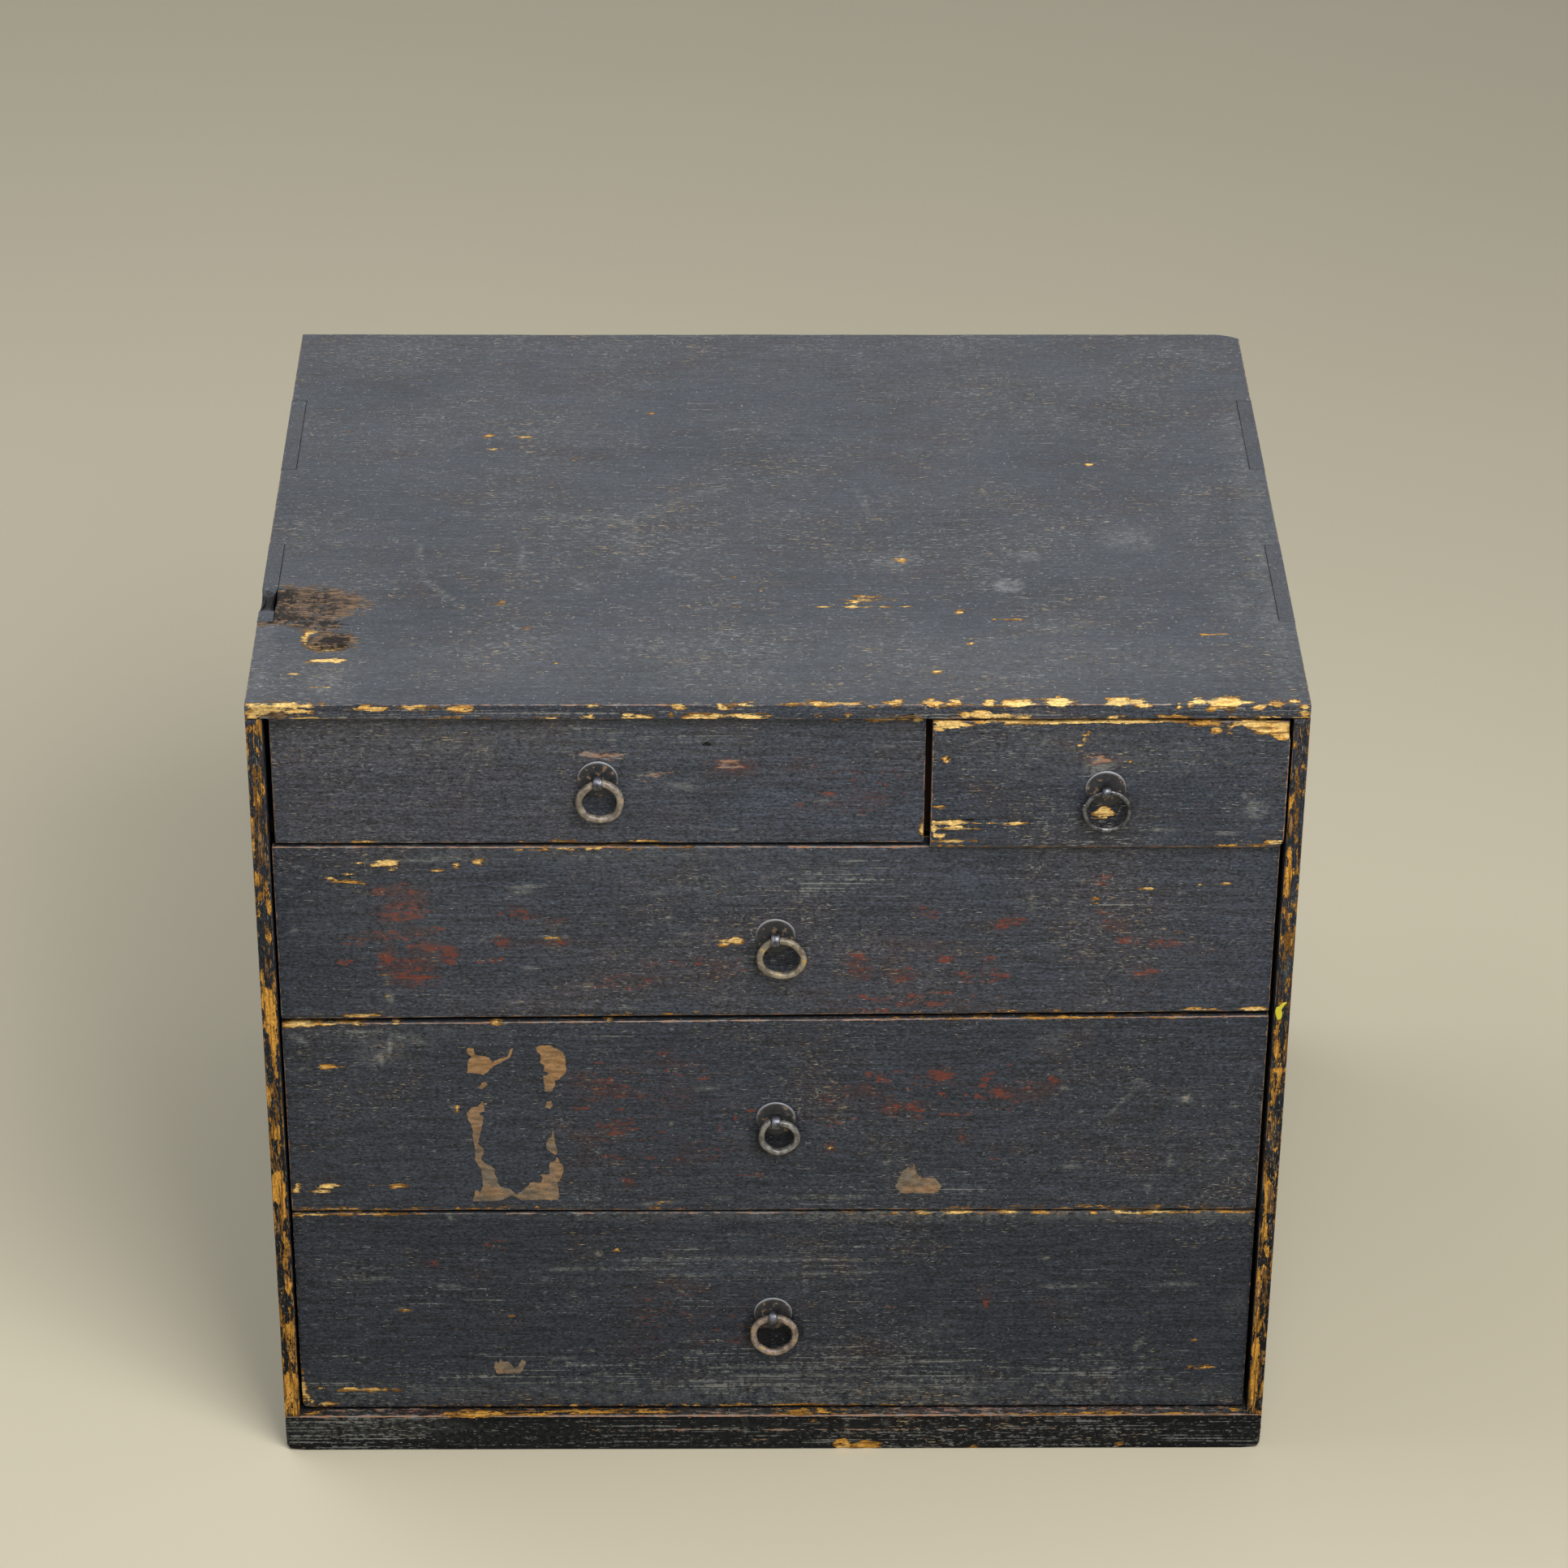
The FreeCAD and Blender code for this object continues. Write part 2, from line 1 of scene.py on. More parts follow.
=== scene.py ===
# %% [markdown]
# # A small painted chest of drawers
# An old softwood chest, painted black long ago, with two small drawers over three
# wide ones and a hand-made iron ring pull on each.  The joinery is already modelled
# in CAD and arrives here as a fixed frame.  What is left for Blender is age: worn
# arrises, chips down to ochre wood, dust in the grain, and forged iron.
#
# The frame comes first, because every size below is read from it: a worn board starts
# from the box of the board that it stands in for.

# %% Load the frame
from math import atan2, cos, hypot, pi, radians, sin

import bmesh
import bpy
import numpy as np
from mathutils import Matrix, Vector, noise


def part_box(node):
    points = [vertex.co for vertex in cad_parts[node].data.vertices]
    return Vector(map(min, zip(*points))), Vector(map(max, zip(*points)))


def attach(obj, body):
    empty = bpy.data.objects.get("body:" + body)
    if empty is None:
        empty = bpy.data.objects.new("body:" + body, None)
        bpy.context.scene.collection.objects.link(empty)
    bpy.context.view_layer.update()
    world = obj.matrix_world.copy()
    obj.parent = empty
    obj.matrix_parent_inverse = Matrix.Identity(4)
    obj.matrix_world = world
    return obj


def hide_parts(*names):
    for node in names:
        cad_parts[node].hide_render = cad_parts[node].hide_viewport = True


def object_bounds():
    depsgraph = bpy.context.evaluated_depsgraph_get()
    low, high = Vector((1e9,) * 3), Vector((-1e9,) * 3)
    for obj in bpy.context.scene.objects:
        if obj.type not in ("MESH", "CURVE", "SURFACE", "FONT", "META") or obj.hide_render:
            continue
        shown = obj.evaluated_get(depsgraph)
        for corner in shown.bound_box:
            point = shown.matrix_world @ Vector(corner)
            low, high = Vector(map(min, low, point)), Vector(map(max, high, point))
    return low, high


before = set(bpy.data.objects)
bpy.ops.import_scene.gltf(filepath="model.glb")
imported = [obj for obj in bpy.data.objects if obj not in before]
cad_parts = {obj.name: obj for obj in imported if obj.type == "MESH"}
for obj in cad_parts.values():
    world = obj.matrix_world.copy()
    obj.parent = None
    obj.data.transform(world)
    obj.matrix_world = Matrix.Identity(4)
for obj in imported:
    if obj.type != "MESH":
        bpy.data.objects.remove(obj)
cad_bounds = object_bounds()
print("pieces in the frame:", len(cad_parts))
print("chest, mm:", [round(1000 * side) for side in cad_bounds[1] - cad_bounds[0]])

# %% [markdown]
# ## Camera
# A camera could be aimed by eye, but a solved one keeps the chest's proportions true.
# It stands at eye height over two metres away, and looks down through a long lens, so
# that upright lines stay nearly upright.

# %% Camera
CAMERA_PLACE = (-0.02727, -2.12988, 1.56816)
CAMERA_DOWN, CAMERA_RIGHT, CAMERA_ROLL = radians(31.367), radians(0.884), radians(0.408)


def put_in_scene(name, data):
    """A new object, which shows only once it is linked to the scene."""
    thing = bpy.data.objects.new(name, data)
    bpy.context.scene.collection.objects.link(thing)
    return thing


camera_data = bpy.data.cameras.new("camera")
camera_data.lens, camera_data.sensor_width = 115.18, 36.0
camera = put_in_scene("camera", camera_data)
camera.matrix_world = (
    Matrix.Translation(CAMERA_PLACE)
    @ Matrix.Rotation(-CAMERA_RIGHT, 4, "Z")
    @ Matrix.Rotation(pi / 2 - CAMERA_DOWN, 4, "X")
    @ Matrix.Rotation(CAMERA_ROLL, 4, "Z")
)
bpy.context.scene.camera = camera
print("lens, mm:", camera_data.lens)

# %% [markdown]
# ## Writing materials in code
# Blender's shader nodes can be wired by hand in the editor, or built in code.  A small
# class that adds a node and returns its socket keeps each material short to read:
# a finish then reads as a list of layers, from the bare wood up to the dust.

# %% Joining nodes
class Wiring:
    """A node tree under construction.  Each method adds nodes and returns a socket."""

    def add(self, kind, inputs=(), **settings):
        """A node by its short name: Math, say, for ShaderNodeMath."""
        node = self.tree.nodes.new("ShaderNode" + kind)
        for name, value in settings.items():
            setattr(node, name, value)
        for key, value in dict(inputs).items():
            self.feed(node.inputs[key], value)
        return node

    def feed(self, socket, value):
        """Plug a socket in, or set a constant."""
        if isinstance(value, bpy.types.NodeSocket):
            self.tree.links.new(value, socket)
        else:
            socket.default_value = value

    def maths(self, operation, first, second=0.0, clamp=False):
        node = self.add("Math", {0: first, 1: second}, operation=operation, use_clamp=clamp)
        return node.outputs[0]

    def total(self, *parts):
        """The sum of some values, each a socket or a pair of a socket and its weight."""
        so_far = None
        for part in parts:
            if isinstance(part, tuple):
                part = self.maths("MULTIPLY", *part)
            so_far = part if so_far is None else self.maths("ADD", so_far, part)
        return so_far

    def ramp(self, value, low, high, floor=0.0, ceiling=1.0):
        """Smoothly from floor to ceiling while the value goes from low to high."""
        node = self.add("MapRange", {
            "Value": value, "From Min": low, "From Max": high,
            "To Min": floor, "To Max": ceiling}, interpolation_type="SMOOTHSTEP")
        return node.outputs[0]

    def mix(self, share, first, second):
        """Mix two colours by a share from 0 to 1."""
        node = self.add("Mix", data_type="RGBA")
        self.feed(node.inputs[0], share)
        for socket, value in ((node.inputs[6], first), (node.inputs[7], second)):
            self.feed(socket, (*value, 1.0) if isinstance(value, tuple) else value)
        return node.outputs[2]

    def blend(self, value, low, high, under, over, most=1.0):
        """One colour turns into another while the value goes from low to high."""
        return self.mix(self.ramp(value, low, high, 0.0, most), under, over)

    def shade(self, colour, amount):
        """The colour times an amount."""
        node = self.add("VectorMath", {0: colour, "Scale": amount}, operation="SCALE")
        return node.outputs[0]


# %% [markdown]
# A finish is such a tree inside a material.  It begins at the Object coordinates, which
# are metres in the chest's own frame, so a pattern keeps its size and goes along with a
# drawer that opens.

# %% A finish
class Finish(Wiring):
    """A material whose pattern is fixed to the object that wears it."""

    def __init__(self, name, roughness=0.5, metallic=0.0, specular=0.5):
        self.material = bpy.data.materials.new(name)
        self.material.use_nodes = True
        self.tree = self.material.node_tree
        self.shader = self.tree.nodes["Principled BSDF"]
        self.shader.inputs["Roughness"].default_value = roughness
        self.shader.inputs["Metallic"].default_value = metallic
        self.shader.inputs["Specular IOR Level"].default_value = specular
        self.spot = self.add("TexCoord").outputs["Object"]

    def noise(self, scale, detail=4.0, roughness=0.6, distortion=0.0):
        """Noise by its features per metre: one number, or one for each of x, y and z."""
        if isinstance(scale, float):
            scale = (scale,) * 3
        stretched = self.add("Mapping", {"Vector": self.spot, "Scale": scale})
        node = self.add("TexNoise", {
            "Vector": stretched.outputs[0], "Scale": 1.0, "Detail": detail,
            "Roughness": roughness, "Distortion": distortion})
        return node.outputs[0]

    def place(self, axis):
        """Where a point is along an axis of the frame, in metres."""
        split = self.add("SeparateXYZ", {0: self.spot})
        return split.outputs[axis]

    def upward(self):
        """How far a face looks up: 1 on a level top, 0 on an upright front."""
        geometry = self.add("NewGeometry")
        split = self.add("SeparateXYZ", {0: geometry.outputs["True Normal"]})
        return split.outputs[2]

    def set_apart(self):
        """Shift the pattern by object, so that neighbouring boards differ."""
        shift = self.add("ObjectInfo").outputs["Random"]
        self.spot = self.add("VectorMath", {0: self.spot, 1: shift}).outputs[0]

    def field(self, name):
        """A number that the mesh carries at each of its points."""
        return self.add("Attribute", attribute_name=name).outputs["Fac"]

    def bump(self, height, distance, strength=1.0, under=None):
        inputs = {"Height": height, "Distance": distance, "Strength": strength}
        if under is not None:
            inputs["Normal"] = under
        return self.add("Bump", inputs).outputs[0]

    def finish(self, colour, normal=None, roughness=None):
        self.feed(self.shader.inputs["Base Color"], colour)
        if normal is not None:
            self.feed(self.shader.inputs["Normal"], normal)
        if roughness is not None:
            self.feed(self.shader.inputs["Roughness"], roughness)
        return self.material


# %% [markdown]
# ## Floor and light
# The chest stands on a plain pale floor, which takes its shadow and tells the eye how
# bright the light is.  A wide disc does this better than a square plane, since no corner
# of it comes near the picture.

# %% Floor
FLOOR_COLOUR = (0.66, 0.6, 0.45)


def make_floor():
    shape = bmesh.new()
    bmesh.ops.create_circle(shape, cap_ends=True, segments=96, radius=7.0)
    mesh = bpy.data.meshes.new("floor")
    shape.to_mesh(mesh)
    shape.free()
    floor = put_in_scene("floor", mesh)
    finish = Finish("pale_floor", roughness=0.75, specular=0.2)
    cloudy = finish.noise(3.0, detail=2.0)
    tone = finish.mix(cloudy, FLOOR_COLOUR, tuple(0.96 * c for c in FLOOR_COLOUR))
    mesh.materials.append(finish.finish(tone))


make_floor()
print("floor colour:", FLOOR_COLOUR)

# %% [markdown]
# The surround is bright to look at but lights the chest only a little, so that the lamps
# decide its shading.  The Light Path node tells the two apart: rays from the camera, or
# that have bounced off something glossy, see it white.  The half-matt paint of the top
# picks up a pale sheen from it.

# %% Surround
DAYLIGHT = (0.94, 0.97, 1.0, 1.0)


def make_surround(lighting, seen):
    """A world that lights at one strength and is seen at another."""
    world = bpy.data.worlds.new("surround")
    bpy.context.scene.world = world
    world.use_nodes = True
    wiring = Wiring()
    wiring.tree = world.node_tree
    path = wiring.add("LightPath").outputs
    rays = path["Is Camera Ray"]
    for other in ("Is Glossy Ray", "Is Transmission Ray"):
        rays = wiring.maths("MAXIMUM", rays, path[other])
    strength = wiring.add("MapRange", {"Value": rays, "To Min": lighting, "To Max": seen})
    background = wiring.tree.nodes["Background"]
    wiring.feed(background.inputs["Color"], DAYLIGHT)
    wiring.feed(background.inputs["Strength"], strength.outputs[0])


make_surround(lighting=0.25, seen=1.0)
bpy.context.scene.view_settings.view_transform = "Standard"
print("view transform:", bpy.context.scene.view_settings.view_transform)

# %% [markdown]
# Two square lamps give the broad shade of a day-lit room: one above and in front, where
# a window would be, and a wider, weaker one high on the left.  Their size matters as
# much as their strength, because a wide lamp makes soft shadows and a broad sheen.

# %% Lamps
def make_lamp(name, place, target, width, watts, colour):
    data = bpy.data.lights.new(name, "AREA")
    data.shape, data.size, data.energy, data.color = "SQUARE", width, watts, colour
    lamp = put_in_scene(name, data)
    lamp.location = place
    lamp.rotation_euler = (Vector(target) - Vector(place)).to_track_quat("-Z", "Y").to_euler()


make_lamp("window_light", (0.45, -1.0, 1.6), (0.0, -0.15, 0.5), 0.9, 26.5, (1.0, 0.99, 0.97))
make_lamp("room_light", (-1.2, 0.4, 2.2), (0.0, 0.0, 0.4), 1.6, 20.0, (0.95, 0.97, 1.0))

# %% [markdown]
# ## The painted finish
# The real finish is a stack: ochre softwood, a dark red ground, black paint on top, and
# on that a century of dust and rubs.  It could be one noisy dark colour, but then
# nothing would say where hands and feet have been.  So the mesh carries named fields,
# such as `bare` or `red`, that are soft numbers from 0 to 1, and the material sharpens
# each of them with noise stretched along the grain.  The field says where, and the
# noise says how the edge of the mark breaks up.
#
# The colours are linear, so a black paint of 0.02 reflects 2% of the light.  There are
# two blacks, a cool and a purplish one, since the paint has aged unevenly.

# %% Colours of the wood and its paint
FRESH_WOOD = (0.9, 0.6, 0.215)
OCHRE_WOOD = (0.6, 0.295, 0.05)
DARK_WOOD = (0.12, 0.05, 0.016)
BURNT_WOOD = (0.21, 0.122, 0.06)
SOOT = (0.018, 0.014, 0.011)
RED_GROUND = (0.25, 0.048, 0.024)
RED_BLACK = (0.08, 0.028, 0.022)
RED_STAIN = (0.062, 0.03, 0.031)
COOL_BLACK = (0.017, 0.0206, 0.0296)
PURPLE_BLACK = (0.02, 0.0207, 0.0274)
TOP_FILM = (0.046, 0.047, 0.044)
RUBBED_EDGE = (0.35, 0.185, 0.112)
PALE_DUST = (0.265, 0.27, 0.26)
NICKED_WOOD = (0.42, 0.32, 0.18)
COOL_SHEEN = (0.95, 0.965, 0.92, 1.0)
CHAR_AND_SHADE_BLACK = (0.006, 0.005, 0.005)
AGED_WOOD = (0.3, 0.185, 0.095)
AGED_GRAIN = (0.175, 0.1, 0.05)
print("blacks, linear:", COOL_BLACK, PURPLE_BLACK)

# %% [markdown]
# All layers share one set of noises.  That makes the wear hang together: a chip, the
# grime in it and the dull spot beside it follow the same fibres, as they do in wood.
# A `layer` adds a noise to its field and cuts the sum at a half, so that a mark with a
# soft edge gets a broken one.  The noise counts for nothing where the field is zero.

# %% Patterns and layers
def along_grain(grain, long, fine):
    """Noise scale per axis: few features along the grain, many across it."""
    return tuple(long if axis == grain else fine for axis in "xyz")


class Patterns:
    """The noises of a painted board, from broad clouds to single dots."""

    def __init__(self, finish, grain):
        self.clouds = finish.noise(14.0, detail=3.0)
        self.blots = finish.noise(along_grain(grain, 26.0, 60.0), detail=7.0, roughness=0.68)
        self.chipping = finish.noise(along_grain(grain, 120.0, 430.0), detail=6.0, roughness=0.72)
        self.specks = finish.noise(330.0, detail=5.0, roughness=0.72)
        self.fibres = finish.noise(along_grain(grain, 42.0, 850.0), detail=5.0, roughness=0.65)
        self.grit = finish.noise(along_grain(grain, 560.0, 1150.0), detail=4.0, roughness=0.75)
        self.lines = finish.noise(along_grain(grain, 17.0, 1050.0), detail=2.0, distortion=0.15)
        self.dashes = finish.noise(along_grain(grain, 230.0, 2100.0), detail=1.0, distortion=0.25)
        self.curls = finish.noise(150.0, detail=1.0, distortion=0.5)
        self.dots = finish.noise(750.0, detail=0.0)


def layer(finish, name, breaking, reach, edge=0.04):
    """Share of a layer: its field, broken up by a noise."""
    amount = finish.field(name)
    wander = finish.maths("MULTIPLY", finish.maths("SUBTRACT", breaking, 0.5),
                          finish.ramp(amount, 0.0, 0.2, 0.0, reach))
    return finish.ramp(finish.maths("ADD", amount, wander), 0.5 - edge, 0.5 + edge)


# %% [markdown]
# Under the paint is the wood.  Where the paint has gone lately it is `fresh` and pale,
# and elsewhere it has turned ochre, with grime between the fibres.
#
# The black coat is gritty.  On a level top it is matter, as a film of dust lies on it,
# and `level` tells the two apart.  Where the coat is thin the wood's `red` ground stains
# it, and where it is gone the ground shows.

# %% Wood and coats of paint
def wood_under_paint(finish, seen):
    freshness = finish.total(seen.blots, (finish.field("fresh"), 0.45))
    wood = finish.blend(freshness, 0.8, 0.98, OCHRE_WOOD, FRESH_WOOD)
    grimy = finish.maths("SUBTRACT", finish.ramp(seen.fibres, 0.47, 0.62, 0.0, 0.8),
                         finish.ramp(freshness, 0.86, 1.0, 0.0, 0.6), clamp=True)
    wood = finish.mix(grimy, wood, DARK_WOOD)
    wood = finish.shade(wood, finish.ramp(seen.fibres, 0.38, 0.62, 1.15, 0.7))
    return finish.shade(wood, finish.ramp(seen.grit, 0.36, 0.6, 1.45, 0.75))


def black_coat(finish, seen, fade_and_shade, level):
    hue = finish.total((seen.blots, 0.4), (seen.clouds, 0.6),
                       finish.ramp(fade_and_shade, 0.4, 1.0, -0.065, 0.02))
    paint = finish.blend(hue, 0.42, 0.58, COOL_BLACK, PURPLE_BLACK)
    gritty = finish.maths("MULTIPLY", finish.maths("SUBTRACT", seen.grit, 0.5),
                          finish.ramp(level, 0.0, 1.0, 5.2, 3.0))
    paint = finish.shade(paint, finish.maths("MAXIMUM", finish.maths("ADD", gritty, 1.05), 0.3))
    paint = finish.shade(paint, finish.ramp(seen.fibres, 0.35, 0.65, 0.65, 1.35))
    # Painted shade in part: a low fade darkens the black, and the lower boards are given low ones.
    paint = finish.shade(paint, finish.ramp(fade_and_shade, -0.2, 1.0, 0.05, 2.25))
    return finish.mix(finish.maths("MULTIPLY", level, 0.4), paint, TOP_FILM)


def red_ground(finish, seen, paint):
    stained = finish.total(finish.field("red"), finish.ramp(seen.blots, 0.3, 0.7, -0.3, 0.3))
    paint = finish.blend(stained, 0.12, 0.62, paint, RED_STAIN, 0.6)
    reddened = layer(finish, "red", finish.total((seen.specks, 0.35), (seen.chipping, 0.65)),
                     4.4, edge=0.06)
    red = finish.blend(seen.grit, 0.4, 0.62, RED_GROUND, RED_BLACK)
    return finish.mix(finish.maths("MULTIPLY", reddened, 0.8), paint, red)


# %% [markdown]
# What happened to the paint since comes next, from long to short: pale `lines` in the
# grain, nicks and dashes, curled hairlines, dots, `dust`, and a `rim` along the arrises
# where hands have rubbed.  A hairline is where a smooth noise passes its middle.
#
# A hot thing has left two more layers on the top: `burnt` brown wood, striped by its
# fibres, and `char_and_shade` black in the middle of it.  The same black also fills the nail
# holes and cracks of the fronts, as painted shade.

# %% Marks of use
def marks_of_use(finish, seen, paint, level):
    dusty = finish.field("dust")
    scratched = finish.total(seen.dashes, finish.ramp(seen.clouds, 0.3, 0.7, -0.06, 0.03),
                             (dusty, 0.06), (level, 0.012))
    nick = finish.blend(seen.blots, 0.5, 0.56, PALE_DUST, NICKED_WOOD)
    paint = finish.blend(scratched, 0.688, 0.712, paint, nick, 0.95)
    streaked = finish.total(seen.lines, (finish.field("lines"), 0.15),
                            finish.ramp(seen.specks, 0.3, 0.7, -0.12, 0.07))
    paint = finish.blend(streaked, 0.69, 0.75, paint, PALE_DUST, 0.68)
    curl = finish.maths("ABSOLUTE", finish.maths("SUBTRACT", seen.curls, 0.5))
    curl = finish.maths("MULTIPLY", finish.ramp(curl, 0.004, 0.016, 1.0, 0.0),
                        finish.ramp(seen.clouds, 0.52, 0.6))
    curl = finish.maths("MULTIPLY", curl, finish.ramp(seen.specks, 0.53, 0.6, 0.0, 0.6))
    paint = finish.mix(curl, paint, PALE_DUST)
    paint = finish.blend(seen.dots, 0.8, 0.82, paint, PALE_DUST, 0.8)
    dust = finish.maths("MULTIPLY", dusty, finish.ramp(seen.specks, 0.35, 0.62, 0.0, 0.35))
    paint = finish.mix(dust, paint, PALE_DUST)
    rubbed = finish.blend(seen.specks, 0.44, 0.64, RUBBED_EDGE, PALE_DUST)
    return finish.mix(layer(finish, "rim", seen.chipping, 2.4, edge=0.12), paint, rubbed)


def scorch(finish, seen, colour):
    """The colour with burn and painted shade in it, and the shares of its two layers."""
    burnt = layer(finish, "burnt", finish.total((seen.blots, 0.3), (seen.chipping, 0.7)),
                  5.5, edge=0.08)
    scorched = finish.blend(seen.dashes, 0.38, 0.6, SOOT, BURNT_WOOD)
    scorched = finish.shade(scorched, finish.ramp(seen.fibres, 0.38, 0.62, 1.6, 0.4))
    scorched = finish.blend(seen.specks, 0.6, 0.68, scorched, PALE_DUST, 0.6)
    colour = finish.mix(finish.maths("MULTIPLY", burnt, 0.95), colour, scorched)
    char_and_shade = layer(finish, "char_and_shade", seen.specks, 3.0, edge=0.2)
    return finish.mix(finish.maths("MULTIPLY", char_and_shade, 0.92), colour, CHAR_AND_SHADE_BLACK), burnt, char_and_shade


# %% [markdown]
# The layers are now put on in order.  The `raw` layer is last, because the wood on the
# inside of a board was never painted.  Height and gloss follow the same patterns, so a
# chip is duller than the paint round it and has an edge that catches the light.
#
# The finish is made three times: with the grain level, with the grain upright, and
# evenly faded for the pegs of the case, whose meshes carry no fields.

# %% Painted wood
def make_painted_wood(name, grain, even_fade=None):
    finish = Finish(name, specular=0.3)
    seen = Patterns(finish, grain)
    fade_and_shade = finish.field("fade_and_shade") if even_fade is None else even_fade
    level = finish.ramp(finish.upward(), 0.5, 0.9)
    paint = black_coat(finish, seen, fade_and_shade, level)
    paint = marks_of_use(finish, seen, red_ground(finish, seen, paint), level)

    breaking = finish.total((seen.chipping, 0.5), (seen.specks, 0.15), (seen.fibres, 0.35))
    bare = layer(finish, "bare", breaking, 6.5)
    colour = finish.mix(bare, paint, wood_under_paint(finish, seen))
    colour, burnt, char_and_shade = scorch(finish, seen, colour)
    raw = layer(finish, "raw", seen.specks, 0.5, edge=0.2)
    inside = finish.blend(seen.fibres, 0.35, 0.65, AGED_WOOD, AGED_GRAIN)
    colour = finish.mix(raw, colour, inside)

    ridges = finish.bump(seen.fibres, 0.0004, 0.7)
    grains = finish.bump(seen.grit, 0.0004, finish.ramp(level, 0.0, 1.0, 1.0, 0.5), ridges)
    flaked = finish.bump(bare, 0.00025, 1.0, grains)
    dull = finish.maths("MAXIMUM", bare, raw)
    roughness = finish.total(finish.ramp(dull, 0.0, 1.0, 0.4, 0.8),
                             finish.ramp(seen.blots, 0.35, 0.65, -0.04, 0.08))
    gloss = finish.ramp(fade_and_shade, 0.0, 1.0, 0.1, 0.35)
    for cause, low, high, glossy, matt in ((seen.grit, 0.38, 0.64, 0.72, 1.25),
                                           (burnt, 0.0, 1.0, 1.0, 0.55),
                                           (char_and_shade, 0.0, 1.0, 1.0, 0.5)):
        gloss = finish.maths("MULTIPLY", gloss, finish.ramp(cause, low, high, glossy, matt))
    finish.feed(finish.shader.inputs["Specular IOR Level"], gloss)
    finish.shader.inputs["Specular Tint"].default_value = COOL_SHEEN
    return finish.finish(colour, flaked, roughness)


painted_level = make_painted_wood("painted_wood_level", "x")
painted_upright = make_painted_wood("painted_wood_upright", "z")
painted_ends = make_painted_wood("painted_wood_ends", "x", even_fade=0.5)
print("painted finish, nodes:", len(painted_level.node_tree.nodes))

# %% [markdown]
# Inside, the wood is bare and grey-brown.  Neighbouring boards would show one pattern if
# they shared the chest's coordinates, so each object shifts its own.  Near the front the
# boards are painted nearly black, a painted shade for the dark gaps between the fronts.

# %% Bare wood inside
PEG_WOOD, PEG_GRAIN = (0.34, 0.21, 0.1), (0.17, 0.095, 0.045)
FRONT_EDGE_SHADE = (cad_bounds[0][1] + 0.019, cad_bounds[0][1] + 0.034)


def make_bare_wood(name, grain, light, dark):
    """Old softwood: grain, damp stains, and painted shade near the front, for the gaps."""
    finish = Finish(name, roughness=0.78, specular=0.25)
    behind = finish.place("Y")
    finish.set_apart()
    rings = finish.noise(along_grain(grain, 3.5, 230.0), detail=4.0, roughness=0.6, distortion=0.2)
    fibres = finish.noise(along_grain(grain, 60.0, 2200.0), detail=4.0, roughness=0.7)
    stains = finish.noise(along_grain(grain, 7.0, 14.0), detail=4.0)
    colour = finish.blend(rings, 0.36, 0.64, light, dark, 0.85)
    colour = finish.blend(fibres, 0.45, 0.75, colour, dark, 0.45)
    damp = tuple(0.45 * c for c in dark)
    colour = finish.blend(stains, 0.5, 0.75, colour, damp, 0.6)
    # Painted shade: the front edges, seen through the gaps between the fronts, go near black.
    colour = finish.mix(finish.ramp(behind, *FRONT_EDGE_SHADE, 0.95, 0.0), colour, CHAR_AND_SHADE_BLACK)
    normal = finish.bump(fibres, 0.0002, 0.7, finish.bump(rings, 0.0005, 0.5))
    return finish.finish(colour, normal)


bare_level = make_bare_wood("bare_wood_level", "x", AGED_WOOD, AGED_GRAIN)
bare_deep = make_bare_wood("bare_wood_deep", "y", AGED_WOOD, AGED_GRAIN)
peg_wood = make_bare_wood("peg_wood", "x", PEG_WOOD, PEG_GRAIN)
print("bare woods:", [wood.name for wood in (bare_level, bare_deep, peg_wood)])

# %% [markdown]
# ## Boards that can wear
# A worn board is a box whose arrises have gone soft and whose faces are no longer flat.
# A cube with a bevel would give the outline, but it has too few points to wear down.
# Here a board is sliced by stations along x, y and z into small cells, closely at the
# arrises and evenly between, with cells left out for its rabbets and finger joints.
# Only the faces between wood and air are kept, so the mesh stays closed.  All lengths
# here are in millimetres until the mesh is made.

# %% Slicing a board
MM = 0.001
ARRIS_STEPS = (0.35, 0.8, 1.4, 2.2, 3.4)
CLOSEST = 0.3


def stations(low, high, step, cuts=()):
    """Where a board is sliced along one axis."""
    kept = [low, high, *[cut for cut in cuts if low < cut < high]]
    wished = [end for depth in ARRIS_STEPS for end in (low + depth, high - depth)]
    count = max(2, round((high - low) / step))
    wished += [low + (high - low) * turn / count for turn in range(1, count)]
    for line in wished:
        if low < line < high and min(abs(line - other) for other in kept) > CLOSEST:
            kept.append(line)
    return np.array(sorted(kept))


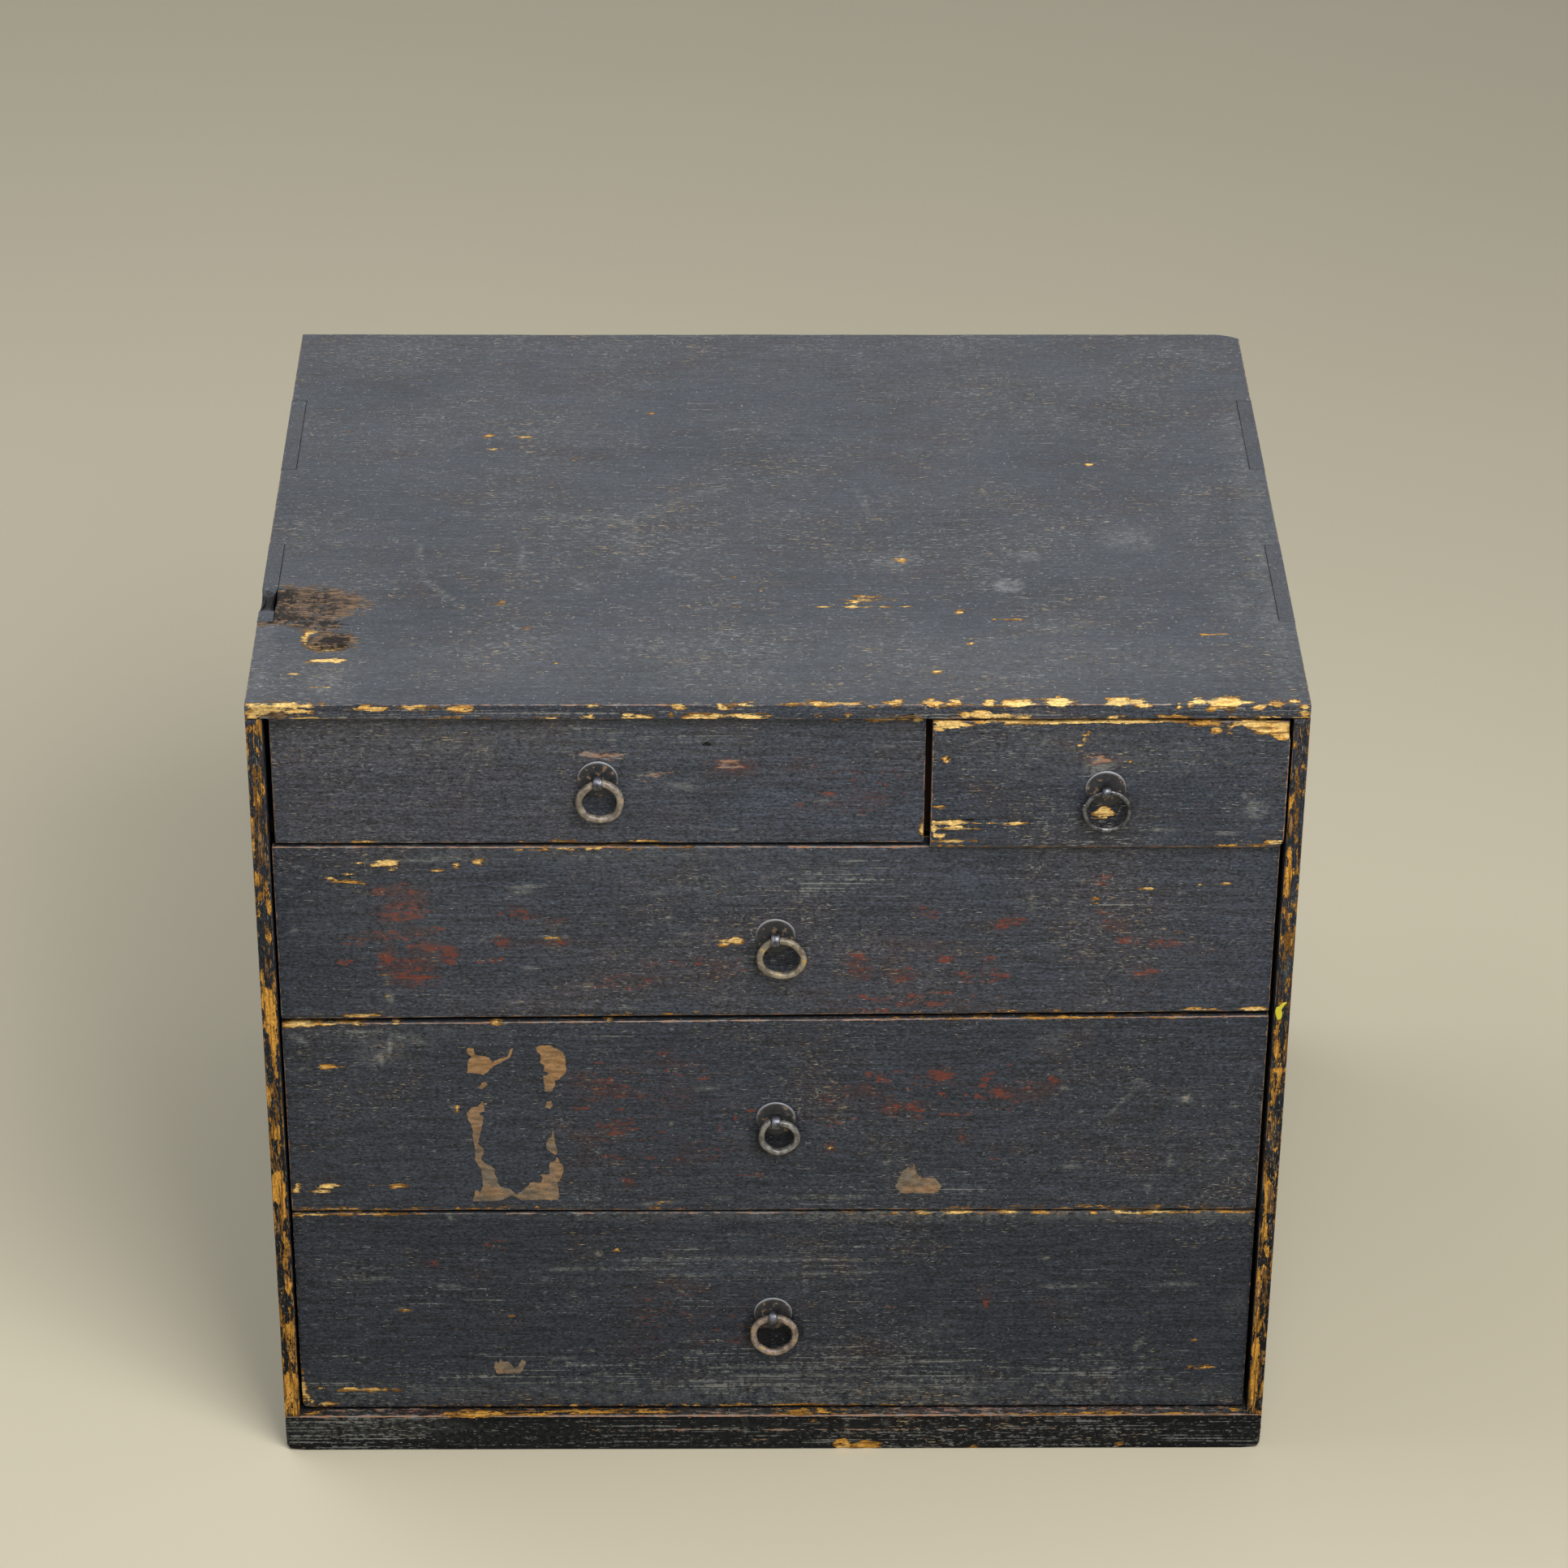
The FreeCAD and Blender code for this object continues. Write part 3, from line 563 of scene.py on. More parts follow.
def carve(lines, hollows):
    """Points and four-sided faces of the sliced board, less its hollow boxes."""
    middles = [(line[1:] + line[:-1]) / 2 for line in lines]
    at = np.meshgrid(*middles, indexing="ij")
    wood = np.ones(at[0].shape, bool)
    for low, high in hollows:
        wood &= ~np.all([(at[k] > low[k]) & (at[k] < high[k]) for k in range(3)], axis=0)
    wood = np.pad(wood, 1)
    counts = [len(line) for line in lines]
    number = np.arange(np.prod(counts)).reshape(counts)
    faces = []
    for axis in range(3):
        for way in (1, -1):
            skin = wood & ~np.roll(wood, -way, axis)
            cell = np.argwhere(skin) - 1
            first, second = [k for k in range(3) if k != axis]
            corner = cell.copy()
            corner[:, axis] += way > 0
            ring = []
            for turn in ((0, 0), (1, 0), (1, 1), (0, 1)):
                spot = corner.copy()
                spot[:, first] += turn[0]
                spot[:, second] += turn[1]
                ring.append(number[tuple(spot.T)])
            facing = way if axis != 1 else -way
            faces.append(np.array(ring[::facing]).T)
    faces = np.concatenate(faces)
    used, faces = np.unique(faces, return_inverse=True)
    index = np.unravel_index(used, counts)
    points = np.stack([lines[k][index[k]] for k in range(3)], axis=1)
    return points, faces.reshape(-1, 4).tolist()


print("slices across 12 mm of wood, mm:", stations(0.0, 12.0, 3.0).tolist())


# %% [markdown]
# Wear is worked out on the points.  Rounding pulls each point back to a ball of the
# arris radius that rolls inside the board, and that radius varies along the edge.  Relief
# then sinks the surface by a fraction of a millimetre: long swells of a board that has
# moved, and ridges where the soft spring growth has shrunk between hard lines.

# %% Wearing a board
def rough(points, sizes, seed=0.0):
    """Smooth random heights, about sizes (x, y, z) apart, from -1 to 1."""
    spots = points / np.array(sizes) + seed
    return np.array([noise.noise(spot) for spot in spots.tolist()])


def soften(points, low, high, radius):
    """Round the board's outer arrises, by a radius given for every point."""
    radius = radius[:, None]
    centre = np.clip(points, low + radius, high - radius)
    away = points - centre
    length = np.maximum(np.linalg.norm(away, axis=1, keepdims=True), 1e-9)
    return np.where(length > radius, centre + away * radius / length, points)


def to_arris(points, low, high):
    """Distance of each surface point from the nearest outer arris."""
    gaps = np.concatenate([points - low, high - points], axis=1)
    return np.sort(gaps, axis=1)[:, 1]


def relief(points, grain):
    """How far the surface has sunk at each point."""
    swell = rough(points, [260.0 if axis == grain else 55.0 for axis in "xyz"], 3.1)
    ridge = rough(points, [70.0 if axis == grain else 4.5 for axis in "xyz"], 7.7)
    fine = rough(points, [22.0 if axis == grain else 2.4 for axis in "xyz"], 1.9)
    return 0.16 + 0.1 * swell + 0.05 * ridge + 0.03 * fine


print("relief at a corner, mm:", round(float(relief(np.zeros((1, 3)), "x")[0]), 3))


# %% [markdown]
# A mark is an oval on a face: its middle, half its width and height, how strongly it
# shows, and its tilt.  Inside it the field rises from a half at the edge, outside it
# falls off, and marks that overlap simply join.  Noise alone would spread the damage
# evenly, but a chest has been hit in certain places, so its marks are set one by one, in
# millimetres, and only their ragged edges are left to noise.
#
# Some marks run over an arris.  For them the height up the front is carried on along
# the top, at the slope FOLD, as if the two faces were one.

# %% Marks
FOLD = 0.61


class Mark:
    """An oval, in millimetres, with its strength, and its tilt in degrees."""

    def __init__(self, u, v, wide, high, strength=1.0, tilt=0.0):
        self.u, self.v, self.wide, self.high = u, v, wide, high
        self.strength, self.tilt = strength, radians(tilt)


def marks(*rows):
    return [Mark(*row) for row in rows]


def clamp(values):
    return np.clip(values, 0, 1)


def marked(u, v, ovals, soft):
    """The field of some marks at points u, v of a face."""
    total = np.zeros(len(u))
    for mark in ovals:
        du, dv = u - mark.u, v - mark.v
        across = (du * cos(mark.tilt) + dv * sin(mark.tilt)) / mark.wide
        up = (dv * cos(mark.tilt) - du * sin(mark.tilt)) / mark.high
        inside = (1 - np.hypot(across, up)) * min(mark.wide, mark.high)
        total = np.maximum(total, mark.strength * clamp(0.5 + inside / soft))
    return total


def ringed(u, v, mark, width, soft):
    """The field of a ring shaped mark: an oval with a smaller one left out."""
    inner = Mark(mark.u, mark.v, mark.wide - width, mark.high - width)
    return marked(u, v, [mark], soft) - mark.strength * marked(u, v, [inner], soft)


def folded(points, low):
    """Height up a front, carried on along the top behind its arris."""
    return points[:, 2] + FOLD * (points[:, 1] - low[1])


def cracked(u, v, cracks):
    """Depth of some cracks, each from (u, v) to (u, v) with a half width and a depth."""
    depth = np.zeros(len(u))
    for u0, v0, u1, v1, half, deep in cracks:
        length = hypot(u1 - u0, v1 - v0)
        along = ((u - u0) * (u1 - u0) + (v - v0) * (v1 - v0)) / length
        share = clamp(along / length)
        gap = np.hypot(u - u0 - share * (u1 - u0), v - v0 - share * (v1 - v0))
        taper = np.sin(pi * np.clip(share, 0.04, 0.96)) ** 0.5
        depth = np.maximum(depth, deep * taper * np.exp(-((gap / half) ** 2)))
    return depth


middle_and_edge = marked(np.array([0.0, 5.0]), np.zeros(2), marks((0, 0, 5, 5)), 2.0)
print("a mark's middle and edge:", middle_and_edge.tolist())


# %% [markdown]
# A board carries ten fields.  `bare` is wood without paint and `fresh` how pale that
# wood is; `red` is the ground coat; `dust` and `lines` are pale marks on the paint;
# `burnt` and `char_and_shade` belong to the burn, and `char_and_shade` also paints shade into
# holes and cracks; `rim` is paint rubbed thin; `raw` was never painted; and `fade_and_shade` is
# how far the black has faded, with painted shade in it that darkens the lower boards.  A function
# for each kind of board works them out, together with its arris radius and how far the
# surface sinks or moves.

# %% Making a piece of the chest
FIELDS = ("bare", "fresh", "red", "dust", "lines", "burnt", "char_and_shade", "rim", "raw", "fade_and_shade")
print("fields on a board:", len(FIELDS))


def new_piece(name, points, faces, material, body, replaced=()):
    """A mesh object from points in millimetres, riding on its body."""
    mesh = bpy.data.meshes.new(name)
    mesh.from_pydata((points * MM).tolist(), [], faces)
    mesh.validate()
    mesh.polygons.foreach_set("use_smooth", [True] * len(mesh.polygons))
    mesh.materials.append(material)
    piece = put_in_scene(name, mesh)
    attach(piece, body)
    if replaced:
        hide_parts(*replaced)
    return piece


def point_normals(mesh):
    normals = np.zeros(len(mesh.vertices) * 3)
    mesh.vertices.foreach_get("normal", normals)
    return normals.reshape(-1, 3)


def write_fields(mesh, fields):
    for name in FIELDS:
        values = fields.get(name, np.zeros(len(mesh.vertices)))
        mesh.attributes.new(name, "FLOAT", "POINT").data.foreach_set("value", values)


def board_box(node):
    """The corners of a node's box, in millimetres."""
    low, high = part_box(node)
    return np.array(low) / MM, np.array(high) / MM


# %% [markdown]
# Rounding comes before relief, so that the ridges of the grain run over the arris.  Each
# point then sinks along its own normal, and not its face's: at an arris the normal leans
# outwards, so the board stays closed.

# %% Wearing one board
def worn_board(name, node, grain, steps, body, wear, hollows=()):
    """Slice, round, shape and mark one painted board that replaces its node."""
    low, high = board_box(node)
    lines = []
    for k in range(3):
        edges = {hollow[end][k] for hollow in hollows for end in (0, 1)}
        lines.append(stations(low[k], high[k], steps[k], sorted(edges)))
    points, faces = carve(lines, hollows)
    work = wear(points, low, high)
    points = soften(points, low, high, work["radius"]) + work.get("move", 0.0)
    material = painted_upright if grain == "z" else painted_level
    piece = new_piece(name, points, faces, material, body, [node])
    sunk = np.maximum(relief(points, grain) + work.get("sink", 0.0), 0.0)
    points = points - point_normals(piece.data) * sunk[:, None]
    piece.data.vertices.foreach_set("co", (points * MM).ravel())
    write_fields(piece.data, work)
    piece.data.update()
    print(name, "points:", len(points))


# %% [markdown]
# ## The top board
# The top is one broad board.  The tongues of the sides come up through its ends, and a
# fine seam shows round each of them.  Something hot once stood near its left end and
# left a brown knot and a charred notch, and its front arris is rubbed down to the
# ochre wood.  The notches for the tongues are hollows here, as the seams need real depth.

# %% Finger joints
TONGUE_WIDTH, TONGUE_PITCH = 74.0, 150.0
SIDE_THICK = board_box("left_side")[1][0] - board_box("left_side")[0][0]
CASE_LOW, CASE_HIGH = (np.array(corner) / MM for corner in cad_bounds)
BEYOND = 5.0
TONGUES = [(middle - TONGUE_WIDTH / 2, middle + TONGUE_WIDTH / 2)
           for middle in (-TONGUE_PITCH / 2, TONGUE_PITCH / 2)]
BETWEEN = [(CASE_LOW[1] - BEYOND, TONGUES[0][0]), (TONGUES[0][1], TONGUES[1][0]),
           (TONGUES[1][1], CASE_HIGH[1] + BEYOND)]
HALF_CASE = board_box("top_board")[1][0]


def notches_for_tongues():
    hollows = []
    for low_y, high_y in TONGUES:
        for end in (-1, 1):
            xs = sorted((end * (HALF_CASE - SIDE_THICK), end * (HALF_CASE + BEYOND)))
            hollows.append(((xs[0], low_y, -BEYOND), (xs[1], high_y, CASE_HIGH[2] + BEYOND)))
    return hollows


def seats_of(*nodes):
    """A housing or rabbet is where a neighbour sits, so its box is hollowed out."""
    return [board_box(node) for node in nodes]


print("tongues from y to y, mm:", TONGUES)

# %% [markdown]
# The top's marks come in two sets.  Those on the face are placed by x and y: chips, the
# scorch with its char and crescent, dust where things have stood, pale rings left by
# cups, and hair cracks from (x, y) to (x, y) with a half width and a depth.

# %% Marks on the top
TOP_CHIPS = marks(
    (-203, -147.5, 6, 2.4), (-210, -148.5, 4, 1.1, 0.95), (-215, -119, 9, 2, 0.56, -10),
    (-229, -112, 5, 2, 0.56), (-200, -157, 3, 1.2, 0.62), (-205, -172, 5, 0.8, 0.62),
    (-198, -164, 3, 0.7, 0.62), (-220, -160, 3, 2, 0.55), (-116, -119, 1.4, 1.2, 0.85),
    (-101, -150, 1.2, 1.2, 0.8), (-8, -83, 2, 1.4, 0.75), (-20, -71, 1.2, 1, 0.8),
    (-20, -98, 1, 1.8, 0.7), (-20, -106, 2, 0.9, 0.7), (-128, -95, 4, 1, 0.62),
    (-126, -91, 1, 1.6, 0.7), (42, -89, 6, 0.9, 0.95), (43, -91.6, 6, 0.9, 0.95),
    (36, -95, 4, 0.9, 0.9), (37, -98, 8, 0.8, 0.85), (22, -98, 2.4, 0.8, 0.85),
    (50, -98, 2.4, 0.8, 0.75), (60, -98, 1.6, 0.7, 0.75), (55, -91.6, 2, 0.7, 0.75),
    (30, -91.6, 2, 0.7, 0.75), (85, -104, 2.4, 1.8, 0.85), (89, -132, 1.8, 1.6, 0.95),
    (89, -128, 1.2, 1.2, 0.8), (73, -158, 1.6, 1.6, 0.95), (112, -110.5, 4, 0.6, 0.75),
    (101, -110.5, 1.4, 0.6, 0.7), (81, -165, 3, 0.7, 0.62), (95, -165, 3, 0.7, 0.6),
    (203, -124.5, 8, 0.6, 0.66, 3), (58, -54, 4, 4, 0.5), (-140, 73.5, 3, 1.6, 0.9),
    (-122, 72.5, 4, 1, 0.75), (-137.5, 60, 1.6, 1.3, 0.9), (154, 43.5, 2, 1.2, 0.9),
    (18, 8, 1, 1, 0.8), (-97, 49, 1.2, 0.8, 0.8), (-60, 97, 2, 0.8, 0.7), (-210, 78, 3, 1, 0.6),
)
SCORCH = marks(
    (-214, -97, 25, 16, 0.95), (-230, -102, 12, 15, 0.95), (-218, -86, 16, 9, 0.8),
    (-214, -116, 13, 5, 0.85), (-205, -131, 12, 9, 0.95),
)
CRESCENT = Mark(-206, -128, 12.5, 11.5, 0.9)
CHARRED = marks(
    (-238, -92, 9, 11), (-226, -108, 13, 6, 0.8, -12), (-208, -114, 9, 3.5, 0.8, 8),
    (-230, -94, 9, 13, 0.7), (-204, -131, 9, 6.5, 0.72), (-212, -96, 12, 14, 0.45),
)
TOP_DUST = marks(
    (168, -33, 10, 9, 0.8), (58, -54, 7, 6, 0.8), (132, -118, 12, 5, 0.5), (215, -92, 8, 14, 0.6),
    (-69, -30, 1.5, 7, 0.9), (-62, -6, 6, 0.8, 0.9, 32), (-92, -10, 5, 0.6, 0.9),
    (0, -150, 250, 26, 0.25), (232, -60, 8, 120, 0.6), (-236, -140, 4, 40, 0.7),
    (-202, -165, 8, 14, 0.8),
)
PALE_RINGS = marks((109, -78, 6.5, 6.5, 1.0), (119, -49, 5.5, 5.5, 0.5))
TOP_NOTCH = marks((-240, -93, 6, 8))
TOP_LINES = [
    (-168, -38, -166, -70, 0.8, 0.5), (-166, -70, -147, -98, 0.8, 0.6),
    (-122, -30, -118, -68, 1.0, 0.35), (-60, -60, -30, -72, 1.0, 0.35),
    (-96, -70, -84, -84, 1.0, 0.35), (40, 20, 46, -12, 1.0, 0.4),
]
TOP_CRACKS = [
    (57, 36, 61, 30, 0.9, 0.5), (61, 30, 62.5, 20, 0.9, 0.6), (62.5, 20, 60, 8, 0.9, 0.5),
    (-72, -38, -60, -3, 0.8, 0.25), (-100, 10, -86, 16, 0.7, 0.2), (10, 78, 13, 70, 0.8, 0.4),
    (-140, -28, -116, -44, 0.7, 0.2),
]
print("chips on the top:", len(TOP_CHIPS))

# %% [markdown]
# The other set follows the front arris, by x and by the height that goes on along the
# top.  That arris has lost more paint than any other, since everything that was ever
# lifted on or off the chest has slid over it.

# %% Marks along the front of the top
TOP_EDGE = marks(
    (-222, 425.4, 20.4, 2.2, 0.76), (-232, 422.2, 8.8, 2.1, 0.8), (-216, 422.3, 6.1, 1.9, 0.8),
    (-235.8, 419.6, 2.4, 2.3, 0.9), (-238, 417.6, 3.5, 1.5, 0.9), (-230.5, 417.8, 2.8, 1.1, 0.85),
    (-210, 418.3, 7.7, 1.1, 0.85), (-185, 424.6, 8.8, 2), (-187, 423.2, 5.1, 1.2, 0.9),
    (-162, 424.4, 6.7, 1.6), (-163, 423.2, 4, 1.1, 0.85), (-143, 423.9, 5.6, 1.6),
    (-147, 418.6, 4, 1.5, 0.8), (-134.5, 418, 2.6, 0.9, 0.8), (-83.5, 425.2, 3.1, 1.1, 0.9),
    (-109, 418.4, 2.4, 0.8, 0.75), (-100.5, 419, 3.1, 1.4, 0.8), (-90, 419.1, 2, 1.1, 0.8),
    (-85.5, 419.3, 3.7, 1.5, 0.9), (-67.5, 419.9, 2.6, 1.5, 0.95), (-61, 419.3, 4.1, 1.5, 0.9),
    (-48.5, 419.9, 2, 1.6, 0.9), (-37, 419.6, 6.1, 1.6, 0.9), (-28.5, 419.7, 2.4, 1.6, 0.9),
    (-21, 419.3, 3.5, 1.1, 0.85), (-13, 419.6, 7.2, 1.5, 0.95), (-5, 419.5, 1.6, 1, 0.8),
    (-45, 425, 3.5, 1.6, 0.95), (-26.5, 425.8, 1.8, 1.2, 0.85), (-25, 424, 2.4, 1.4, 0.75),
    (-13, 426.2, 6.1, 1.1, 0.8), (20, 426.6, 17.3, 1.6, 0.6), (18, 419.3, 2.1, 1.2, 0.8),
    (26, 419.3, 3.5, 1.1, 0.62), (31.5, 419.7, 2.4, 1.2, 0.75), (41, 425.2, 1.8, 1, 0.9),
    (52.5, 426.9, 3.7, 1.7, 0.95), (69, 426.4, 5.2, 2.5), (79, 427, 3.1, 2),
    (95, 426.6, 3.5, 1.6, 0.95), (106, 426.9, 5.8, 2.2), (113, 427.3, 2.6, 1.4, 0.85),
    (90, 420.4, 12, 2.1), (84, 419.8, 5.6, 1.4, 0.9), (102, 419.4, 2.8, 1.2, 0.9),
    (110, 419.5, 3.7, 1.1, 0.85), (59, 418.6, 7.7, 1.2, 0.7), (126, 427.5, 6.7, 2.6),
    (128.5, 425.5, 4.5, 1.2, 0.75), (153, 427.5, 5.8, 2.3), (162.5, 427.6, 3.5, 1.4, 0.85),
    (164.5, 425.2, 3.1, 1.9, 0.95), (180, 425.2, 1.8, 1.7, 0.85), (184.5, 425.5, 2.1, 1.7, 0.9),
    (189, 427.6, 3.3, 1.9), (202, 427.4, 8.2, 3), (200, 425.2, 6, 1.6, 0.95),
    (195, 423.2, 2.4, 1.9, 0.9), (216.5, 424.7, 2.8, 1.7, 0.95), (213, 427, 2, 1.1, 0.8),
    (224, 426.6, 3.1, 1.7, 0.95), (232, 427.5, 2.1, 1.4, 0.85), (237.2, 421.6, 2.2, 3.8, 0.95),
    (150, 419.1, 5, 1, 0.85), (140, 418.9, 3.5, 0.8, 0.75), (178, 419, 7.7, 1.2, 0.9),
    (224, 418.9, 15.1, 1, 0.75),
)
SCORCHED_EDGE = marks(
    (203, 422.4, 3.4, 1.4, 0.9), (-226, 420.4, 6, 1.4, 0.8), (56, 418.8, 12, 1.6, 0.8),
)
print("bare patches along the front:", len(TOP_EDGE))

# %% [markdown]
# Now the marks become fields.  `on_face` and `near_front` keep each set on its own face.
# The rear edge wanders and its right corner has gone, so points there are moved and not
# only sunk.  The black has faded unevenly, most of all towards the back.

# %% Wear of the top board
TOP_FADE = 0.79
GOUGE_DEPTH = 2.2


def arris_bare(points, low, high, amount, reach):
    """Bare wood along the arrises: an amount there, which fades within the reach."""
    return clamp(amount - 0.5 * to_arris(points, low, high) / reach)


def rim_of(points, low, high, reach):
    """The very arris, where paint is thinnest."""
    return clamp(1 - to_arris(points, low, high) / reach)


def wear_top(points, low, high):
    x, y, z = points.T
    on_face = z > high[2] - 2.5
    near_front = y < low[1] + 9
    up = folded(points, low)
    rubbed = rough(points, (26, 26, 26), 5.0)
    arris = arris_bare(points, low, high, 0.18 + 0.16 * rubbed, 2.4)
    edge = 0.95 * marked(x, up, TOP_EDGE, 2.4) * near_front
    crescent = ringed(x, y, CRESCENT, 3.6, 2.6) * clamp((-x - 200) / 9 - (y + 124) / 9)
    chips = np.maximum(marked(x, y, TOP_CHIPS, 2.2), crescent) * on_face
    bare = np.maximum(chips, edge)
    sink = 0.25 * clamp(bare * 2 - 0.8) + GOUGE_DEPTH * marked(x, y, TOP_NOTCH, 5.0)
    sink += cracked(x, y, TOP_CRACKS) * on_face
    wavy = np.zeros_like(points)
    rear = clamp((y - 120) / 68)
    dip = 0.9 + 0.8 * rough(points, (90, 900, 900), 2.2) + 5.0 * clamp((x - 226) / 14) ** 2
    wavy[:, 1] = -rear ** 3 * dip
    dust = marked(x, y, TOP_DUST, 14.0)
    dust += sum(ringed(x, y, ring, 3.0, 3.0) for ring in PALE_RINGS)
    dust += marked(x, y, PALE_RINGS, 3.0) * 0.6 + 3.0 * cracked(x, y, TOP_LINES)
    return {
        "radius": 0.6 + 1.0 * clamp(np.maximum(arris, edge) + 0.5 * rubbed),
        "sink": sink, "move": wavy,
        "bare": np.maximum(arris, bare * 1.1),
        "fresh": np.clip(2.3 * bare, 0.3, 1),
        "dust": dust * on_face,
        "lines": 0.7 * (y < low[1] + 0.6),
        "burnt": np.maximum(marked(x, y, SCORCH, 8.0) * on_face,
                            marked(x, up, SCORCHED_EDGE, 2.0) * near_front),
        "char_and_shade": marked(x, y, CHARRED, 9.0),
        "rim": rim_of(points, low, high, 1.1) * 0.7,
        "fade_and_shade": TOP_FADE + on_face * (0.14 * rough(points, (180, 3.5, 180), 6.6) * (y < 0)
                                      + 0.26 * rough(points, (75, 45, 75), 2.8)
                                      + 0.18 * np.clip(y / 188, -0.35, 1)),
        "raw": clamp(1 - (z - low[2]) / 0.7) * (to_arris(points, low, high) > 2),
    }


worn_board("top", "top_board", "x", (2.4, 2.0, 3.0), "case", wear_top,
           notches_for_tongues() + seats_of("top_divider", "upper_back"))

# %% [markdown]
# ## Sides and base
# Each side is a thin upright board, so its grain and its wear run up and down.  From the
# front only its edge shows: black in the middle, and ochre along both arrises where
# drawers and knees have rubbed it, most of all near the floor.  The base is thicker and
# has been kicked, with one large chip low down, right of the middle.
#
# A side is cut away for everything that meets it: the fingers of the top and the base at
# its ends, the shelves in their housings, and the backs in their rabbet.

# %% Room in the sides
SHELVES = ("upper_shelf", "middle_shelf", "lower_shelf")
BACKS = ("upper_back", "middle_back", "lower_back")


def side_hollows(node):
    """Everything between the tongues at both ends, the housings and the rabbet."""
    low, high = board_box(node)
    ends = [(board_box("top_board")[0][2], high[2] + BEYOND),
            (low[2] - BEYOND, board_box("base_board")[1][2])]
    gaps = [((low[0] - BEYOND, y0, z0), (high[0] + BEYOND, y1, z1))
            for y0, y1 in BETWEEN for z0, z1 in ends]
    return gaps + seats_of(*SHELVES, *BACKS)


print("joints that the left side leaves room for:", len(side_hollows("left_side")))

# %% [markdown]
# The rubs on the two front edges are listed from the top down, by x and z.  A worn edge
# could be left to noise, but an edge this thin shows every patch, and they come in runs:
# long where a drawer drags, short where something knocked.

# %% Marks on the sides
LEFT_RUBS = marks(
    (-239.6, 401, 0.9, 10, 0.8), (-235.5, 402.5, 1.6, 3.8, 0.85), (-233.3, 381, 0.9, 8, 0.75),
    (-235.8, 377, 1.8, 3.2, 0.8), (-236, 373.4, 2.2, 1.8, 0.85), (-239.4, 358, 1.1, 14, 0.8),
    (-238.9, 350, 1.6, 6, 0.75), (-238, 333, 2, 4.2, 0.95), (-233.5, 325, 0.9, 7, 0.65),
    (-233.8, 316, 1, 9, 0.85), (-235, 301, 1.8, 4.6, 0.7), (-239.5, 286, 0.8, 8, 0.75),
    (-239, 280, 1.7, 5.6, 0.9), (-236.3, 266, 4, 8), (-235.6, 255, 3.2, 9, 0.95),
    (-235.2, 243, 2.1, 10, 0.9), (-234.8, 230, 1.6, 9, 0.9), (-239.5, 235, 0.7, 6, 0.7),
    (-239, 212, 1.6, 6.6, 0.95), (-236.2, 192, 2.3, 5.6, 0.95), (-239.5, 184, 0.9, 10, 0.8),
    (-235.2, 181, 1.5, 5, 0.8), (-236.4, 159, 4, 11), (-239.2, 140, 1.2, 9, 0.9),
    (-235.2, 145, 1.6, 11, 0.9), (-234.9, 128, 1.4, 5, 0.8), (-235.2, 115, 1.6, 4, 0.8),
    (-234.6, 101, 1.6, 5.6, 0.9), (-239.4, 83, 1, 5.6, 0.85), (-235.2, 73, 2.3, 6.6, 0.9),
    (-235, 57.5, 1.3, 3.6, 0.85), (-239.4, 54, 0.9, 4.2, 0.85), (-236.2, 40, 4.2, 9),
    (-236.2, 28, 4.2, 6, 0.75),
)
RIGHT_RUBS = marks(
    (233.3, 404, 1, 2.2, 0.95), (233, 387, 0.9, 2.2, 0.7), (233.5, 374, 1.1, 4.6, 0.9),
    (234, 362, 1.5, 10, 0.66), (237, 363.5, 0.8, 3, 0.8), (234.4, 345, 1.4, 5.2, 0.9),
    (235, 336, 1.8, 6.6), (234.8, 326, 1.5, 4.2, 0.7), (239.5, 316, 0.7, 2.6, 0.8),
    (239.6, 303, 0.6, 3, 0.85), (233.3, 300, 0.7, 2, 0.85), (233.2, 292, 0.7, 6, 0.6),
    (237.3, 297, 1.1, 1.4, 0.8), (239.4, 292, 0.7, 4, 0.8), (237, 275.5, 1, 4, 0.65),
    (234.8, 247, 1.3, 6, 0.8), (234.8, 236, 1.4, 9), (236.2, 225.6, 2.8, 1.9),
    (239.6, 237, 0.6, 11, 0.8), (234.2, 216, 0.9, 2.6, 0.7), (234.4, 208, 1.4, 3.4),
    (234, 202.5, 0.9, 2, 0.7), (239.6, 200, 0.7, 7, 0.8), (234, 197.5, 1, 1.4, 0.85),
    (233.6, 188, 0.7, 2, 0.75), (237.3, 180.4, 0.9, 1.2, 0.9), (234.8, 161, 1.6, 6, 0.95),
    (235.8, 152, 2.7, 9), (238.4, 165, 0.8, 2.3, 0.8), (235, 133, 1.5, 7.6),
    (236.8, 121, 1.6, 4, 0.9), (235.8, 110, 1.5, 2.6, 0.8), (234.2, 102, 1.6, 8.6),
    (238.3, 101, 0.9, 1.3, 0.8), (234.2, 85, 1.1, 6.6, 0.9), (239.4, 82, 0.7, 9, 0.85),
    (234.6, 75, 1.8, 3.7), (234.6, 60, 2, 10), (234.8, 42, 2.3, 18), (239.6, 50, 0.6, 16, 0.8),
)
SIDE_STAINS = marks(
    (-236, 357, 2, 15, 0.85), (-235.2, 289, 1.6, 10, 0.75), (-236.6, 173, 2, 6, 0.8),
    (-237.4, 141, 1, 8, 0.8), (234.2, 360, 1.6, 10, 0.8), (237.4, 46, 0.9, 15, 0.8),
    (236.8, 150, 1.4, 8, 0.6),
)
SIDE_SMEARS = marks(
    (237, 283, 1, 8, 0.9), (235.6, 191, 1.6, 8, 0.9), (237.6, 322, 1, 4, 0.8),
    (-236, 24, 4, 3, 0.8),
)
SIDE_NOTCH = marks((-92, 426, 7, 7))
print("rubs, left and right:", len(LEFT_RUBS), len(RIGHT_RUBS))

